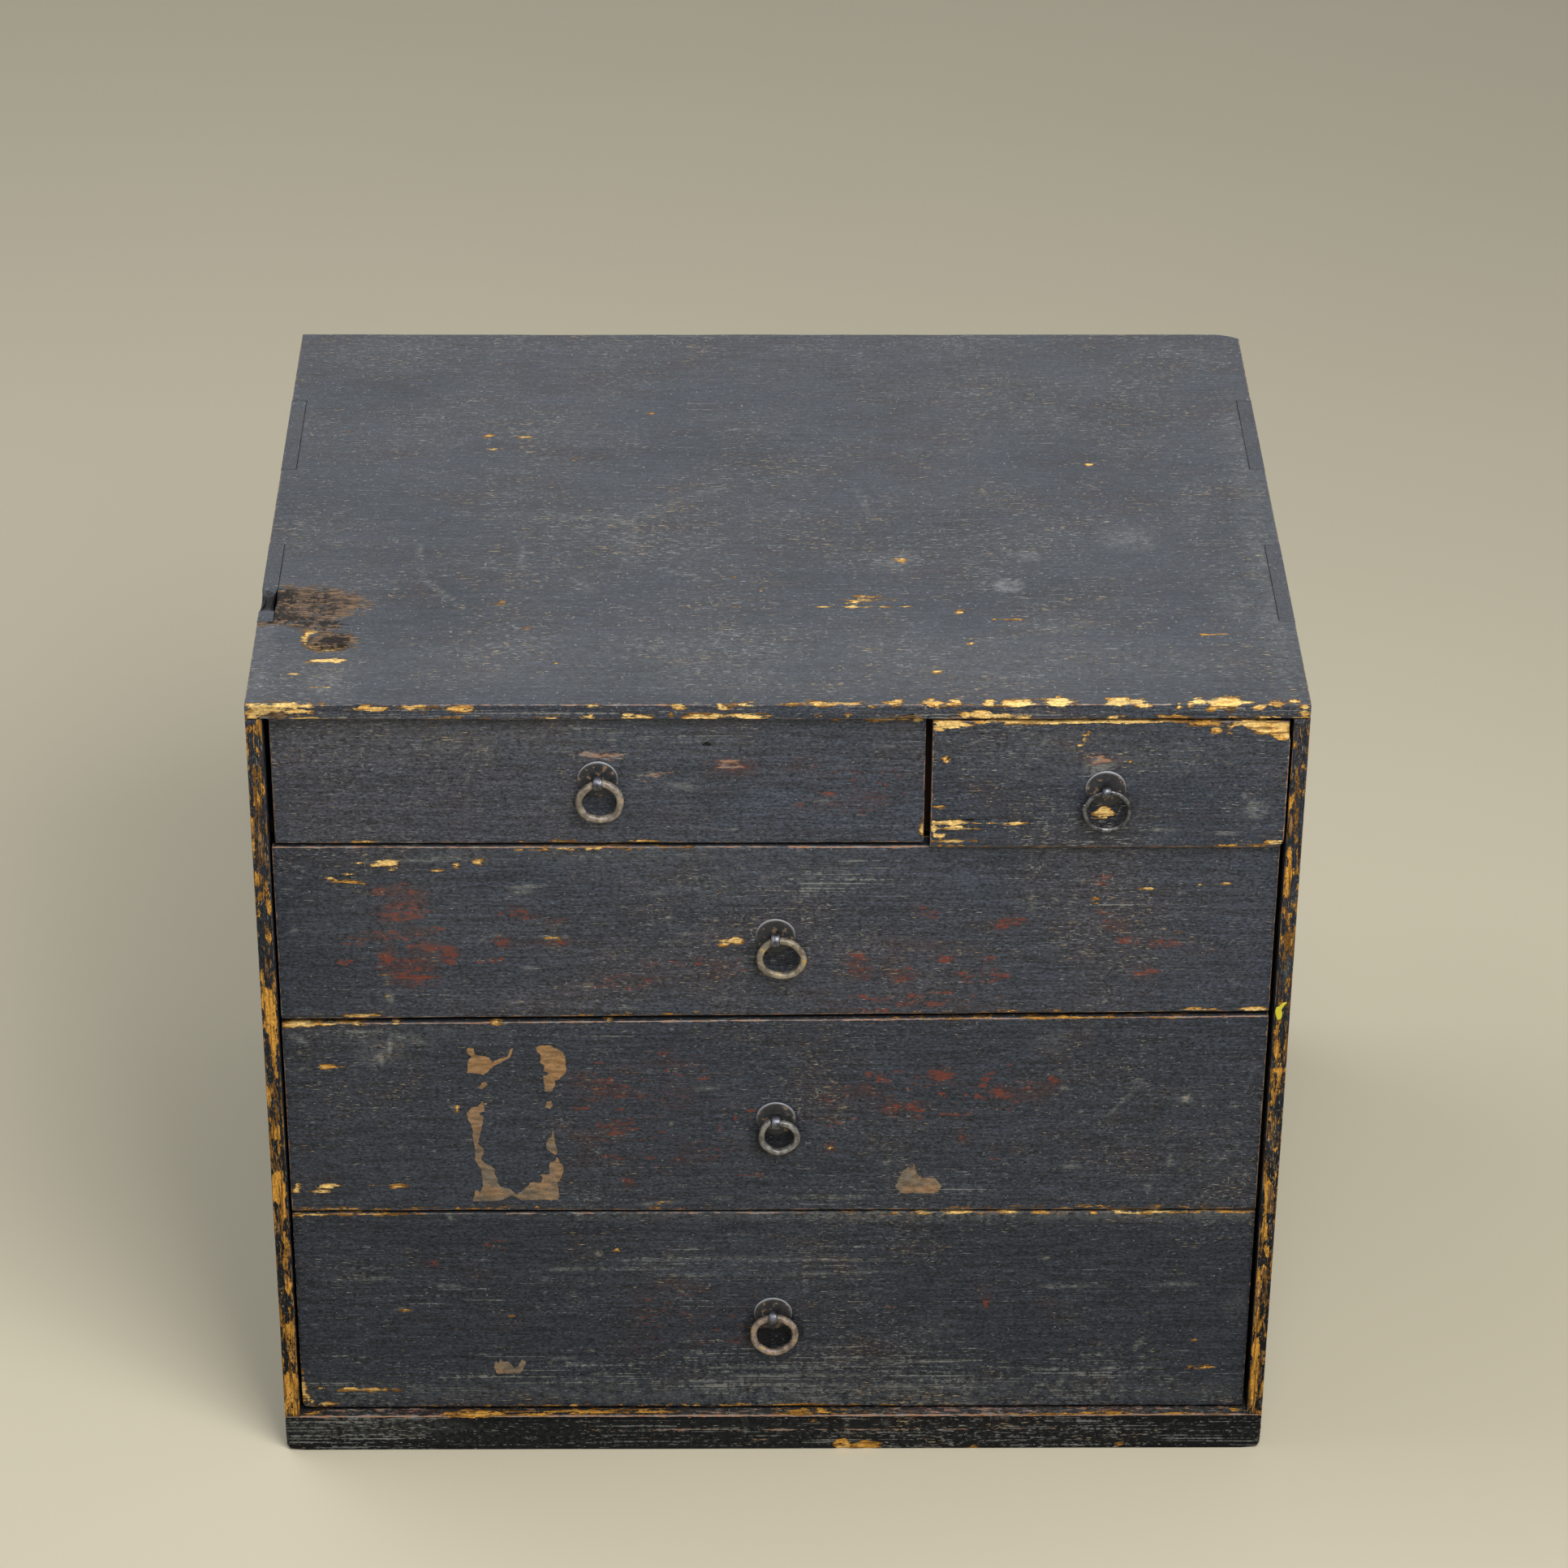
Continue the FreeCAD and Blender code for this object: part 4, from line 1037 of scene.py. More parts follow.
# %% [markdown]
# The left edge is worn through nearly everywhere, and the right one less so higher up.
# Behind the paint's edge the faces that line the case are raw, and the tongue ends on
# the top are painted like the top that they are part of.

# %% Wear of the sides
LOW_RUB = 190.0


def wear_side(points, low, high):
    x, y, z = points.T
    outer = high[0] if low[0] > 0 else low[0]
    inward = np.abs(x - outer)
    on_edge = clamp(1.6 - (y - low[1]) / 2.2)
    kicked = clamp((LOW_RUB - z) / LOW_RUB)
    rubbed = rough(points, (500, 500, 26), 9.0 if outer > 0 else 4.0)
    amount = 0.2 + 0.1 * kicked + 0.2 * rubbed
    arris = arris_bare(points, low, high, amount, 1.6)
    worn_through = 0.36 if outer < 0 else 0.285 + 0.06 * clamp((280 - z) / 30)
    rubs = np.maximum(1.1 * marked(x, z, LEFT_RUBS + RIGHT_RUBS, 2.2), worn_through) * on_edge
    char_and_shade = marked(y, z, SIDE_NOTCH, 5.0) * (outer < 0)
    lining = clamp((inward - SIDE_THICK + 0.8) / 0.6)
    lining *= clamp((y - low[1] - 20) / 12)
    tongue_end = z > high[2] - 1.5
    return {
        "radius": np.where(z > high[2] - 9, 0.25, 0.5 + 0.9 * clamp(arris + 0.4 * rubbed)),
        "sink": GOUGE_DEPTH * char_and_shade,
        "bare": np.maximum(arris, rubs) * ~tongue_end,
        "fresh": 0.45 + 0.25 * rough(points, (9, 9, 9), 5.5),
        "char_and_shade": char_and_shade,
        "burnt": np.maximum(0.15, marked(x, z, SIDE_STAINS, 2.0)) * on_edge * ~tongue_end,
        "dust": np.maximum(0.12 * (inward < 0.5), marked(x, z, SIDE_SMEARS, 2.5) * on_edge),
        "rim": rim_of(points, low, high, 1.0) * 0.6 * ~tongue_end,
        # Painted shade in part: the side's black is made darker towards the floor.
        "fade_and_shade": np.where(tongue_end, TOP_FADE, 0.06 + 0.4 * (z / high[2])),
        "raw": lining * (z < high[2] - 12),
    }


for side in ("left", "right"):
    worn_board(side + "_board", side + "_side", "z", (1.3, 4.5, 2.0), "case", wear_side,
               side_hollows(side + "_side"))

# %% [markdown]
# The base is the darkest board: its black is made darker as painted shade, since little
# light gets down to it, and no hand rubs it.  Its top arris has lost its black to brooms
# and toes in long thin runs, its lower corners are rounded, and a red ground shows where
# the black has only worn thin.

# %% Marks on the base
BASE_CHIPS = marks(
    (34, 2.6, 5, 3.4, 0.85), (46, 2.6, 6.4, 3, 0.85), (98, 0.8, 1.8, 1, 0.8),
    (170, 3, 2.6, 1.2, 0.7), (19.5, 17.5, 1.1, 0.9, 0.9), (-90, 12.4, 1.4, 0.7, 0.85),
    (-18, 16.5, 0.7, 1.3, 0.8), (-144, 22.2, 14, 1.3), (-150, 20.8, 8, 0.8, 0.85),
    (-95, 23.4, 25, 1.2, 0.8), (-118, 22, 8, 0.8, 0.8), (-60, 23.4, 12, 1.3, 0.72),
    (-226, 23, 4, 0.9, 0.7), (20, 22.8, 22, 1.2, 0.62), (165, 21.8, 26, 0.8, 0.72),
    (226, 23.8, 2, 1.4, 0.85), (202, 21.8, 12, 0.7, 0.7), (120, 21.4, 18, 0.6, 0.62),
)
BASE_REDS = marks(
    (90, 24.5, 26, 1.6, 0.62), (150, 24.3, 40, 1.4, 0.6), (-180, 23.5, 30, 1, 0.5),
)
BASE_SMEARS = marks(
    (0, 9, 250, 9, 0.12), (36, 14, 0.9, 6, 0.9), (55, 15.6, 1.8, 2, 0.95), (-15, 16, 0.7, 3, 0.8),
    (-195, 14, 50, 6, 0.4), (150, 23, 90, 1.6, 1.2), (0, 23, 60, 1.2, 0.8),
)
BASE_LINES = [
    (-112, 12, 238, 12.6, 0.5, 0.22), (-80, 6.8, 20, 6.2, 0.5, 0.15), (56, 7, 82, 5.4, 0.4, 0.15),
    (-225, 11.2, -170, 11, 0.4, 0.15),
]
print("chips on the base:", len(BASE_CHIPS))

# %% [markdown]
# The base's fields are worked out like the top's.  Its upper face is painted for a few
# millimetres in front of the drawers and raw behind them, and so is the underside.

# %% Wear of the base
def wear_base(points, low, high):
    x, y, z = points.T
    on_front = y < low[1] + 9
    up = folded(points, low)
    rubbed = rough(points, (30, 30, 30), 8.0)
    arris = arris_bare(points, low, high, 0.14 + 0.14 * rubbed, 2.0)
    chips = marked(x, up, BASE_CHIPS, 1.8) * on_front
    lines = cracked(x, z, BASE_LINES) * (y < low[1] + 1)
    corner = clamp((np.abs(x) - HALF_CASE + 9) / 9) * clamp(1 - z / 12)
    ledge = clamp((y - low[1] - 14) / 8) * (z > high[2] - 0.6)
    return {
        "radius": 0.5 + 0.8 * clamp(arris) + 2.6 * corner,
        "sink": 0.4 * clamp(chips * 2 - 0.8) * (z < 12) + lines,
        "bare": np.maximum(arris, chips * 1.1),
        "fresh": 0.6 * chips + 0.1,
        "red": marked(x, up, BASE_REDS, 4.0) * on_front,
        "rim": np.maximum(rim_of(points, low, high, 1.4) * 0.66 * (z > 12), lines * 3.4)
        + 0.32 * (z > high[2] - 0.8) * on_front,
        "dust": marked(x, z, BASE_SMEARS, 3.0) * on_front,
        "lines": 0.72 * (y < low[1] + 2),
        "fade_and_shade": np.where(on_front, 0.02, 0.08),
        "raw": np.maximum(ledge, clamp(1 - z / 0.6) * (to_arris(points, low, high) > 4)),
    }


worn_board("base", "base_board", "x", (2.4, 3.6, 1.0), "case", wear_base,
           notches_for_tongues() + seats_of("lower_back"))

# %% [markdown]
# ## Drawer fronts
# The five fronts carry most of the character.  Each one laps over its drawer's sides,
# so it is hollowed behind for them, and it is painted only where it shows: the paint
# turns the arris by a few millimetres and then stops at aged bare wood.  The marks are
# listed for each front, in millimetres across and up from the chest's foot.
#
# Chips come first.  They sit along the gaps, where one front has caught on the next, and
# round the narrow drawer's upper right corner, which has been broken.

# %% Chips in the fronts
CHIPS = {
    "top_left": marks(
        (66.2, 357, 1.2, 5, 0.56), (-187, 350.6, 5, 0.8, 0.6), (-62, 350.4, 7, 0.8, 0.7),
        (-108, 350.4, 14, 0.7, 0.6), (40, 416, 20, 1.2, 0.5), (-200, 350.4, 3, 0.6, 0.6),
        (50, 415.6, 16, 1.6, 0.55), (63, 413.5, 4, 3, 0.55),
    ),
    "top_right": marks(
        (222, 413.2, 10, 3.6), (227.5, 410.3, 5, 4.2), (214, 415.5, 9, 1.8),
        (77, 415, 9, 2.4, 0.95), (73, 412.5, 4, 1.6, 0.85), (135, 416.6, 48, 1.6, 0.85),
        (193, 415.5, 8, 2, 0.8), (197.5, 412.5, 2, 2.6, 0.85), (204, 412.5, 1.4, 3, 0.7),
        (71.5, 360, 1.8, 4.5, 0.8), (80, 362.4, 8, 1.3, 0.95, -6), (82, 360, 7, 0.8, 0.9),
        (96, 362.3, 6, 0.8, 0.9), (107, 362.6, 5, 1, 0.95), (74, 355.5, 4, 1.4, 0.8),
        (80, 352.6, 8, 0.8, 0.75), (74, 371, 2.5, 0.7, 0.9), (159.5, 394.5, 1.4, 1.6, 0.6),
        (138.6, 407.5, 0.9, 2.6, 0.9, -20), (136.8, 403.7, 1.1, 0.9, 0.9), (148.6, 367.4, 5, 2.4),
        (148.5, 370, 2, 1.8, 0.9), (76.2, 396.4, 2, 1.8, 0.8), (80, 350.6, 8, 0.9, 0.55),
        (228, 352, 4, 1.6, 0.7), (205, 350.2, 24, 0.7, 0.45), (140, 350, 40, 0.6, 0.46),
        (94, 385.2, 1.2, 0.6, 0.8),
    ),
    "second": marks(
        (-179, 339.3, 5.6, 1.5), (-184.5, 338, 2.6, 1, 0.9), (-205, 331, 2, 0.8, 0.95),
        (-195.5, 333, 2.6, 0.7, 0.95), (-198, 329, 5, 0.7, 0.9, -8), (-192, 339, 1.6, 0.6, 0.9),
        (-176, 336, 3, 1.2, 0.65), (-147.5, 338, 2.3, 1.4, 0.8), (-157, 334.5, 2.4, 0.9, 0.95),
        (-137.5, 339.5, 2.9, 1.6), (-18.6, 296.4, 3, 2, 0.95), (-24.5, 295, 2.6, 1.6, 0.85),
        (-102.5, 297.8, 4.6, 0.9, 0.62), (195.5, 326, 2.6, 0.9, 0.85),
        (207, 326.8, 2.6, 0.9, 0.85), (171.5, 324.4, 2.8, 0.9, 0.85), (-27, 321, 0.8, 2.6, 0.6),
        (-165, 269, 1.2, 0.7, 0.8), (147.5, 318.5, 1.4, 2.6, 0.5), (-181.7, 277, 1.2, 4, 0.55),
        (-181, 266, 1.8, 3.6, 0.52), (186, 299, 2, 1, 0.7), (-85, 347, 40, 1, 0.5),
        (-196, 256, 7, 1, 0.75), (-60, 255.6, 26, 1, 0.55), (105, 255.3, 30, 0.8, 0.55),
        (195, 255.5, 12, 1, 0.72), (222, 255.6, 8, 1.2, 0.85),
    ),
    "third": marks(
        (-209.5, 227, 6.4, 0.8, 0.95), (-223, 251, 7, 1.6, 0.85), (-205, 251.6, 12, 1, 0.6),
        (-213.5, 156.4, 5.5, 1.3, 0.75), (-217, 153.5, 4, 0.8, 0.8), (-228, 156, 1.6, 4, 0.7),
        (26, 178, 1.2, 1.2, 0.95), (-118, 143.4, 70, 0.7, 0.42), (-205, 143.2, 24, 0.6, 0.6),
        (-229, 154, 1, 1.4, 0.9), (-225.5, 150, 1.4, 0.8, 0.9), (-193, 157, 2, 0.7, 0.9),
        (-180, 156.5, 3, 0.7, 0.85), (-53, 147, 3, 0.9, 0.8, 10), (-150.6, 202.5, 0.9, 1.6, 0.9),
        (140, 252, 60, 0.8, 0.42), (150, 143.6, 50, 0.6, 0.42), (-212, 157.4, 3, 0.9, 0.95),
        (-178, 251.4, 2, 0.9, 0.9), (-131, 251.4, 2, 0.8, 0.9), (-78, 251.6, 2, 0.8, 0.85),
        (-196, 251.4, 3, 0.9, 0.85),
    ),
    "bottom": marks(
        (-207, 34.3, 3.6, 1.1), (-198, 33.5, 11, 0.8, 0.9), (-222, 34.6, 3, 0.7, 0.8),
        (-230.6, 36, 1.2, 7, 0.85), (-228, 28.5, 3.4, 1.2, 0.9, -50), (-221, 24.8, 5, 0.9, 0.9),
        (-76, 119, 1.3, 0.9, 0.9), (150, 140.2, 90, 0.8, 0.48), (86, 140.4, 9, 1.1, 0.8),
        (72, 140.4, 6, 0.7, 0.7), (113, 140.4, 6, 0.7, 0.7), (168, 140.3, 9, 1, 0.75),
        (185, 140.6, 5, 0.8, 0.75), (210, 140.4, 12, 0.8, 0.6), (-222, 140, 8, 0.9, 0.75),
        (-195, 140.2, 14, 0.7, 0.7), (-40, 23.4, 90, 0.8, 0.52), (120, 44, 1.4, 0.7, 0.8),
        (-128, 78, 1.2, 0.6, 0.7), (205, 63, 1.4, 1, 0.8), (203, 46.5, 3, 0.8, 0.75),
        (211, 46.5, 3, 0.8, 0.7), (-179, 82.5, 2, 0.8, 0.7),
    ),
}
print("chips:", {name: len(found) for name, found in CHIPS.items()})

# %% [markdown]
# The red ground shows in soft patches, most on the second and third fronts.  A patch's
# strength says how far the black is gone: at a half it breaks into red flecks, and well
# below that it only stains the black.

# %% Red ground on the fronts
RED_PATCHES = {
    "top_left": marks((-21.5, 391.5, 9, 4, 0.62), (30, 378, 40, 16, 0.19)),
    "top_right": marks((146, 395.5, 6, 2.6, 0.58), (190, 375, 30, 14, 0.13)),
    "second": marks(
        (-176, 325, 8, 2.5, 0.72), (-167, 322, 4, 3, 0.74), (-172, 314, 13, 8, 0.5),
        (-185, 299, 9, 1.8, 0.85), (-162, 302, 4, 1.6, 0.7), (-197, 295, 2.4, 1.6, 0.85),
        (-180, 288, 3.8, 8, 0.76), (-177, 283, 6, 3, 0.7), (-161, 293, 7, 3.5, 0.68),
        (-152, 289, 3.8, 5, 0.82), (-160, 273, 4, 2, 0.7), (-170, 280, 14, 8, 0.48),
        (-198, 286, 4, 2, 0.6), (-127, 296, 2.4, 1.6, 1.0), (-105, 295.2, 5, 1.3, 0.9),
        (-117, 312, 8, 3, 0.62), (-102, 307, 2, 1.2, 0.8), (-132, 285, 4, 1.4, 0.6),
        (-58, 284, 4, 2, 0.56), (-44, 285, 9, 2, 0.5), (-72, 275, 18, 7, 0.28),
        (-24, 281, 12, 7, 0.27), (36, 285, 5, 4.5, 0.62), (39, 278, 5, 6, 0.5),
        (77, 285.5, 4, 2, 0.7), (58, 276, 7, 5, 0.5), (98, 285, 3, 3, 0.6), (95, 276, 14, 5, 0.4),
        (105, 306, 5, 4, 0.56), (112, 306, 2, 3, 0.6), (70, 311, 5, 4, 0.5),
        (150, 329, 5, 1.8, 0.62), (151, 311, 3, 2.4, 0.6), (156, 303, 5, 4, 0.58),
        (163, 295, 4, 1.8, 0.62), (181, 294, 5, 1.4, 0.6), (172, 277, 8, 5, 0.46),
        (50, 257.5, 7, 1.8, 0.66), (72, 260, 4, 3, 0.7), (86, 258, 8, 1.6, 0.62),
        (62, 262, 34, 6, 0.36), (76, 282, 46, 16, 0.12), (40, 258, 6, 2, 0.6),
        (102, 262, 5, 2, 0.55), (118, 296, 30, 18, 0.08),
    ),
    "third": marks(
        (47, 219.5, 6, 3, 0.56), (78, 220, 7, 4, 0.68), (84, 217, 3, 3, 0.6),
        (100, 218, 3, 2.6, 0.62), (109, 225, 1.4, 1.4, 0.8), (106, 210, 6, 5, 0.68),
        (120, 214, 3.6, 2, 0.64), (42, 213.4, 2, 1.4, 0.9), (46, 207.5, 1.8, 1.8, 0.7),
        (24, 205, 5, 3, 0.48), (56, 201, 6, 4.5, 0.58), (66, 201, 3.6, 5, 0.58),
        (30, 194, 8, 3, 0.42), (90, 184, 5, 5, 0.36), (105, 175, 4, 4, 0.42),
        (113, 177, 2, 1.4, 0.6), (-33, 219, 3.4, 1.8, 0.56), (-22, 197, 6, 2.4, 0.4),
        (-76, 190, 9, 6, 0.44), (-78, 212, 10, 9, 0.36), (-74, 172, 9, 4, 0.36),
        (-15, 163, 8, 4, 0.34), (-70, 158, 2, 1.6, 0.8), (80, 210, 54, 16, 0.22),
        (-55, 200, 50, 40, 0.17), (132, 216, 2, 1.6, 0.8), (26, 178, 2.4, 2, 0.8),
    ),
    "bottom": marks(
        (-135, 122, 8, 4, 0.44), (-34, 80, 40, 24, 0.18), (103, 87, 3, 3, 0.5),
        (55, 82, 12, 5, 0.26), (-165, 110, 2, 1.6, 0.6), (-38, 66, 8, 5, 0.3),
    ),
}
print("red patches:", {name: len(found) for name, found in RED_PATCHES.items()})

# %% [markdown]
# Pale marks are of three kinds.  Dust lies in broad soft patches, scratches are small
# and sharp, and the grain holds dust in long lines where the paint has sunk most.

# %% Dust, scratches and grain lines on the fronts
DUSTY = {
    "top_left": marks((-120, 404, 90, 10, 0.35)),
    "top_right": marks((150, 400, 70, 12, 0.35), (218, 372, 10, 12, 0.22)),
    "second": marks((0, 330, 60, 8, 0.3), (-60, 344, 50, 3, 0.6), (-180, 310, 40, 20, 0.2)),
    "third": marks(
        (-186, 236, 8, 7, 0.7, 20), (-172, 245, 16, 2, 0.6), (128, 240, 5, 4, 0.7),
        (195.5, 206, 3, 1.4, 0.5),
    ),
    "bottom": marks(
        (140, 141, 90, 2, 1.6), (224, 84, 4, 5, 0.5), (78, 70, 8, 6, 0.4), (0, 30, 230, 8, 0.5),
    ),
}
SCRATCHES = {
    "top_left": marks(
        (-193, 380, 0.9, 0.9), (-187, 357, 0.8, 0.8), (-150, 404, 4, 0.7), (-20, 357, 1, 0.8),
        (-58, 386, 6, 0.9, 0.7), (-44, 380, 7, 1.6, 0.6, -12), (20, 372, 3, 0.6, 0.7),
        (52, 401, 5, 0.6, 0.6), (-95, 372, 0.9, 3, 0.6),
    ),
    "top_right": marks(
        (218, 370, 5, 5, 0.42), (212, 377, 0.9, 0.9), (187, 392, 0.8, 3.5, 0.7, -20),
        (120, 405, 1, 5, 0.6, -20), (160, 383, 0.8, 0.8), (176, 359, 9, 0.7, 0.6),
        (146, 392, 7, 5, 0.55), (204, 357, 6, 0.8, 0.7),
    ),
    "second": marks(
        (-116, 326, 8, 0.9, 0.9, 4), (-118, 323, 4, 0.7, 0.8, 4), (-170, 340, 18, 0.7, 0.8, 2),
        (-160, 341.5, 12, 0.6, 0.6, 3), (-226, 325, 2, 0.7, 0.8), (-223, 303, 2, 0.7, 0.8, 30),
        (-135, 298, 3.5, 0.8, 0.8, 40), (-131, 299.5, 3, 0.7, 0.7), (-104, 298.5, 6, 0.9),
        (-115, 281.5, 2.6, 0.9), (-88, 271.5, 2, 0.8), (-120, 263, 4, 0.7, 0.8, 12),
        (-50, 296, 4, 0.7, 0.7), (-40, 300, 5, 0.6, 0.7), (-55, 322, 3, 0.7, 0.7),
        (-50, 309, 1.4, 0.8, 0.8), (-71, 259, 4, 0.7, 0.7), (118, 316, 0.8, 5, 0.7),
        (142, 289, 2, 0.8, 0.8), (186, 322, 0.9, 1.2, 0.9), (213, 272, 1, 2, 0.7, 30),
        (-181, 276, 1.3, 3, 0.6), (-180, 266, 1.6, 3.4, 0.8, 10),
    ),
    "third": marks(
        (-224, 243, 4, 1, 0.9, -30), (-192, 247, 9, 0.8, 0.9), (-181, 239, 0.9, 6, 0.9),
        (-186, 231, 2, 3, 0.8, 30), (-173, 243, 8, 0.7, 0.7, -20), (-224, 225, 3, 0.8, 0.8, 30),
        (-103, 235, 2, 0.8, 0.7), (-178, 179, 0.9, 1.6), (-153, 203, 0.9, 1.6),
        (-60, 223, 3, 0.8, 0.7), (-33, 213, 6, 0.7, 0.7), (-50, 193, 1, 1.6, 0.8, 20),
        (137, 212, 2.6, 1, 0.9), (145, 198, 0.9, 0.9), (133, 184, 0.9, 0.9),
        (163, 203, 9, 0.5, 0.9, 50), (171, 216, 2, 1, 0.9), (194, 205.5, 2.6, 2, 0.9),
        (140, 167, 5, 0.8, 0.7), (214, 172, 7, 0.5, 0.5, 48), (188, 170, 1, 2.4, 0.7),
        (178, 155, 0.8, 2.4, 0.7), (53, 170, 1.6, 1, 0.9, 40), (32, 202, 0.7, 4, 0.6),
        (-57, 146, 8, 0.8, 0.8, 6), (-25, 149, 4, 0.8, 0.7), (20, 149, 20, 0.7, 0.7),
    ),
    "bottom": marks(
        (-156, 138, 0.8, 1.8, 0.9, 40), (-158, 97, 6, 0.8, 0.9), (-197, 101, 10, 0.7, 0.7),
        (-180, 83, 3, 0.9, 0.8), (-85, 116, 1.4, 2, 0.8, 60), (-101, 107, 6, 0.8, 0.9),
        (-85, 107, 4, 0.7, 0.8), (-112, 100, 2, 1.2, 0.8, 30), (-88, 98, 1.4, 0.8, 0.8),
        (-60, 107, 12, 0.6, 0.7), (-28, 113, 20, 0.6, 0.7, 2), (-65, 112.5, 8, 0.8, 0.7),
        (20, 112, 24, 0.6, 0.7), (25, 104, 22, 0.6, 0.7, 2), (-40, 103, 10, 0.7, 0.7),
        (-109, 50, 1, 3, 0.7, -20), (-103, 53, 5, 0.7, 0.8), (-85, 43, 3, 0.7, 0.8),
        (-80, 37, 1, 3, 0.8, -20), (-36, 39, 4, 0.8, 0.7), (-20, 30, 1, 4, 0.8),
        (130, 113, 2, 1, 0.8), (142, 96, 12, 0.8, 0.7), (195, 97, 8, 0.8, 0.8),
        (160, 54, 1.4, 2, 0.8, 40), (165, 46, 4, 0.9, 0.8), (182, 46, 5, 0.8, 0.8),
        (155, 28, 1, 1.2), (140, 38, 1.4, 2, 0.7), (178, 61, 1, 4, 0.6, -30),
        (70, 35, 24, 0.7, 0.7), (60, 24.6, 60, 0.7, 0.6), (5, 47, 24, 0.8, 0.8),
        (5, 42, 30, 0.8, 0.7), (8, 36, 24, 0.7, 0.7), (70, 50, 18, 0.7, 0.7, 3),
    ),
}
GRAIN_LINES = {
    "top_left": marks((-60, 405, 50, 7, 0.8), (-170, 403, 50, 6, 0.5), (10, 366, 50, 8, 0.3)),
    "top_right": marks((110, 372, 40, 10, 0.4), (180, 400, 40, 12, 0.3)),
    "second": marks(
        (20, 330, 46, 14, 0.75), (150, 320, 60, 16, 0.4), (-150, 270, 60, 10, 0.3),
        (-60, 344, 50, 3, 0.6),
    ),
    "third": marks(
        (30, 155, 100, 9, 0.6), (-50, 222, 60, 10, 0.4), (150, 160, 60, 14, 0.4),
        (-30, 246, 80, 4, 0.5),
    ),
    "bottom": marks(
        (-20, 112, 76, 10, 0.8), (-40, 86, 60, 5, 0.55), (0, 42, 240, 15, 0.92),
        (30, 50, 90, 12, 1.0), (150, 95, 60, 12, 0.5), (-160, 98, 60, 20, 0.42),
    ),
}
print("scratches:", {name: len(found) for name, found in SCRATCHES.items()})

# %% [markdown]
# Nail holes and drying cracks have real depth, and are painted near black as well, a
# painted shade in them.  A crack runs from (x, z) to (x, z), and its last two numbers are
# its half width and depth.

# %% Holes and cracks in the fronts
HOLES = {
    "top_left": marks((-32.3, 401.7, 1.9, 1.2)),
    "top_right": marks((77, 396.2, 1.1, 1.0), (82.6, 378.4, 0.8, 0.8)),
    "second": marks((214, 272, 0.9, 0.9), (165, 283, 0.7, 0.7)),
    "third": marks((72.2, 158.7, 1.2, 0.8)),
    "bottom": marks((-20, 76, 0.7, 0.7)),
}
CRACKS = {
    "top_left": [
        (-110, 401, -60, 403, 0.8, 0.3), (-20, 405, 60, 404, 0.7, 0.2),
        (-112, 408, -30, 409, 0.7, 0.3), (-70, 405.6, 10, 406, 0.6, 0.3),
        (-60, 398.4, -36, 399, 0.6, 0.3), (-28, 399.4, 40, 400, 0.6, 0.2),
        (-200, 404, -130, 405, 0.6, 0.2), (-118, 412, 0, 412.6, 0.6, 0.25),
    ],
    "top_right": [(69, 363.9, 104, 364.1, 0.7, 0.8), (70, 358.4, 88, 357.8, 0.7, 0.5)],
    "second": [(-40, 334, 40, 335, 0.8, 0.25), (-120, 326, -104, 328, 0.7, 0.2)],
    "third": [(162, 197, 172, 212, 0.6, 0.15), (-200, 170, -120, 170.5, 0.7, 0.2)],
    "bottom": [
        (-75, 113, 55, 113.5, 0.9, 0.35), (-60, 106, 70, 105.5, 0.9, 0.3),
        (-90, 99, 30, 99.5, 0.8, 0.25), (-60, 50, 120, 49, 0.8, 0.3),
    ],
}
print("cracks:", {name: len(found) for name, found in CRACKS.items()})

# %% [markdown]
# Each front has its own tone, and the bottom one is the darkest: partly real fading,
# as light and hands reach the upper drawers more, and partly painted shade, darker lower
# down the chest.  `RUBBED` marks are brown smears where the black is thin, `RIM_SHOWS`
# says how plainly a front's arrises show, and `ARRIS_AMOUNT` how much bare wood they have.

# %% Tones of the fronts
FADE_AND_SHADE = {"top_left": 1.0, "top_right": 0.67, "second": 0.76, "third": 0.58, "bottom": 0.465}
RUBBED = {
    "top_left": marks(
        (-81.5, 396.3, 11, 2.4, 0.68), (-21.5, 391.5, 8, 3, 0.5), (-55, 385, 12, 5, 0.34),
    ),
    "top_right": marks((146, 395.5, 6, 2.4, 0.62)),
    "second": marks((147.5, 324, 1.6, 4, 0.5)),
}
PALER = {"bottom": marks((-20, 108, 60, 22, 0.13))}
DARKER = {"second": marks((-222, 300, 50, 60, 0.17))}
RIM_SHOWS = {"top_left": 0.7, "top_right": 0.84, "second": 0.85, "third": 0.87, "bottom": 0.48}
ARRIS_AMOUNT = {"top_left": 0.12, "top_right": 0.16, "second": 0.15, "third": 0.16, "bottom": 0.12}
print("fade, from 0 for new black:", FADE_AND_SHADE)

# %% [markdown]
# The fronts have moved a little since they were made.  The line between the second and
# the third climbs to the right, the long edges wander, and two lower corners are rounded
# off.  All of that moves points in the plane of the front, by about two millimetres at
# most, so that the gaps between the fronts stay as narrow as they should be.

# %% How the fronts have moved
HALF_FRONT = 230.0
SHARED_LINE_TILT = 1.8
CORNER_ROUND = 5.0


def tilt_shared_line(name, points, low, high):
    """The line between the second and third fronts climbs a little to the right."""
    up = (points[:, 2] - low[2]) / (high[2] - low[2])
    weight = {"second": 1 - up, "third": up}.get(name, 0.0)
    return (points[:, 0] / HALF_FRONT) * SHARED_LINE_TILT * weight


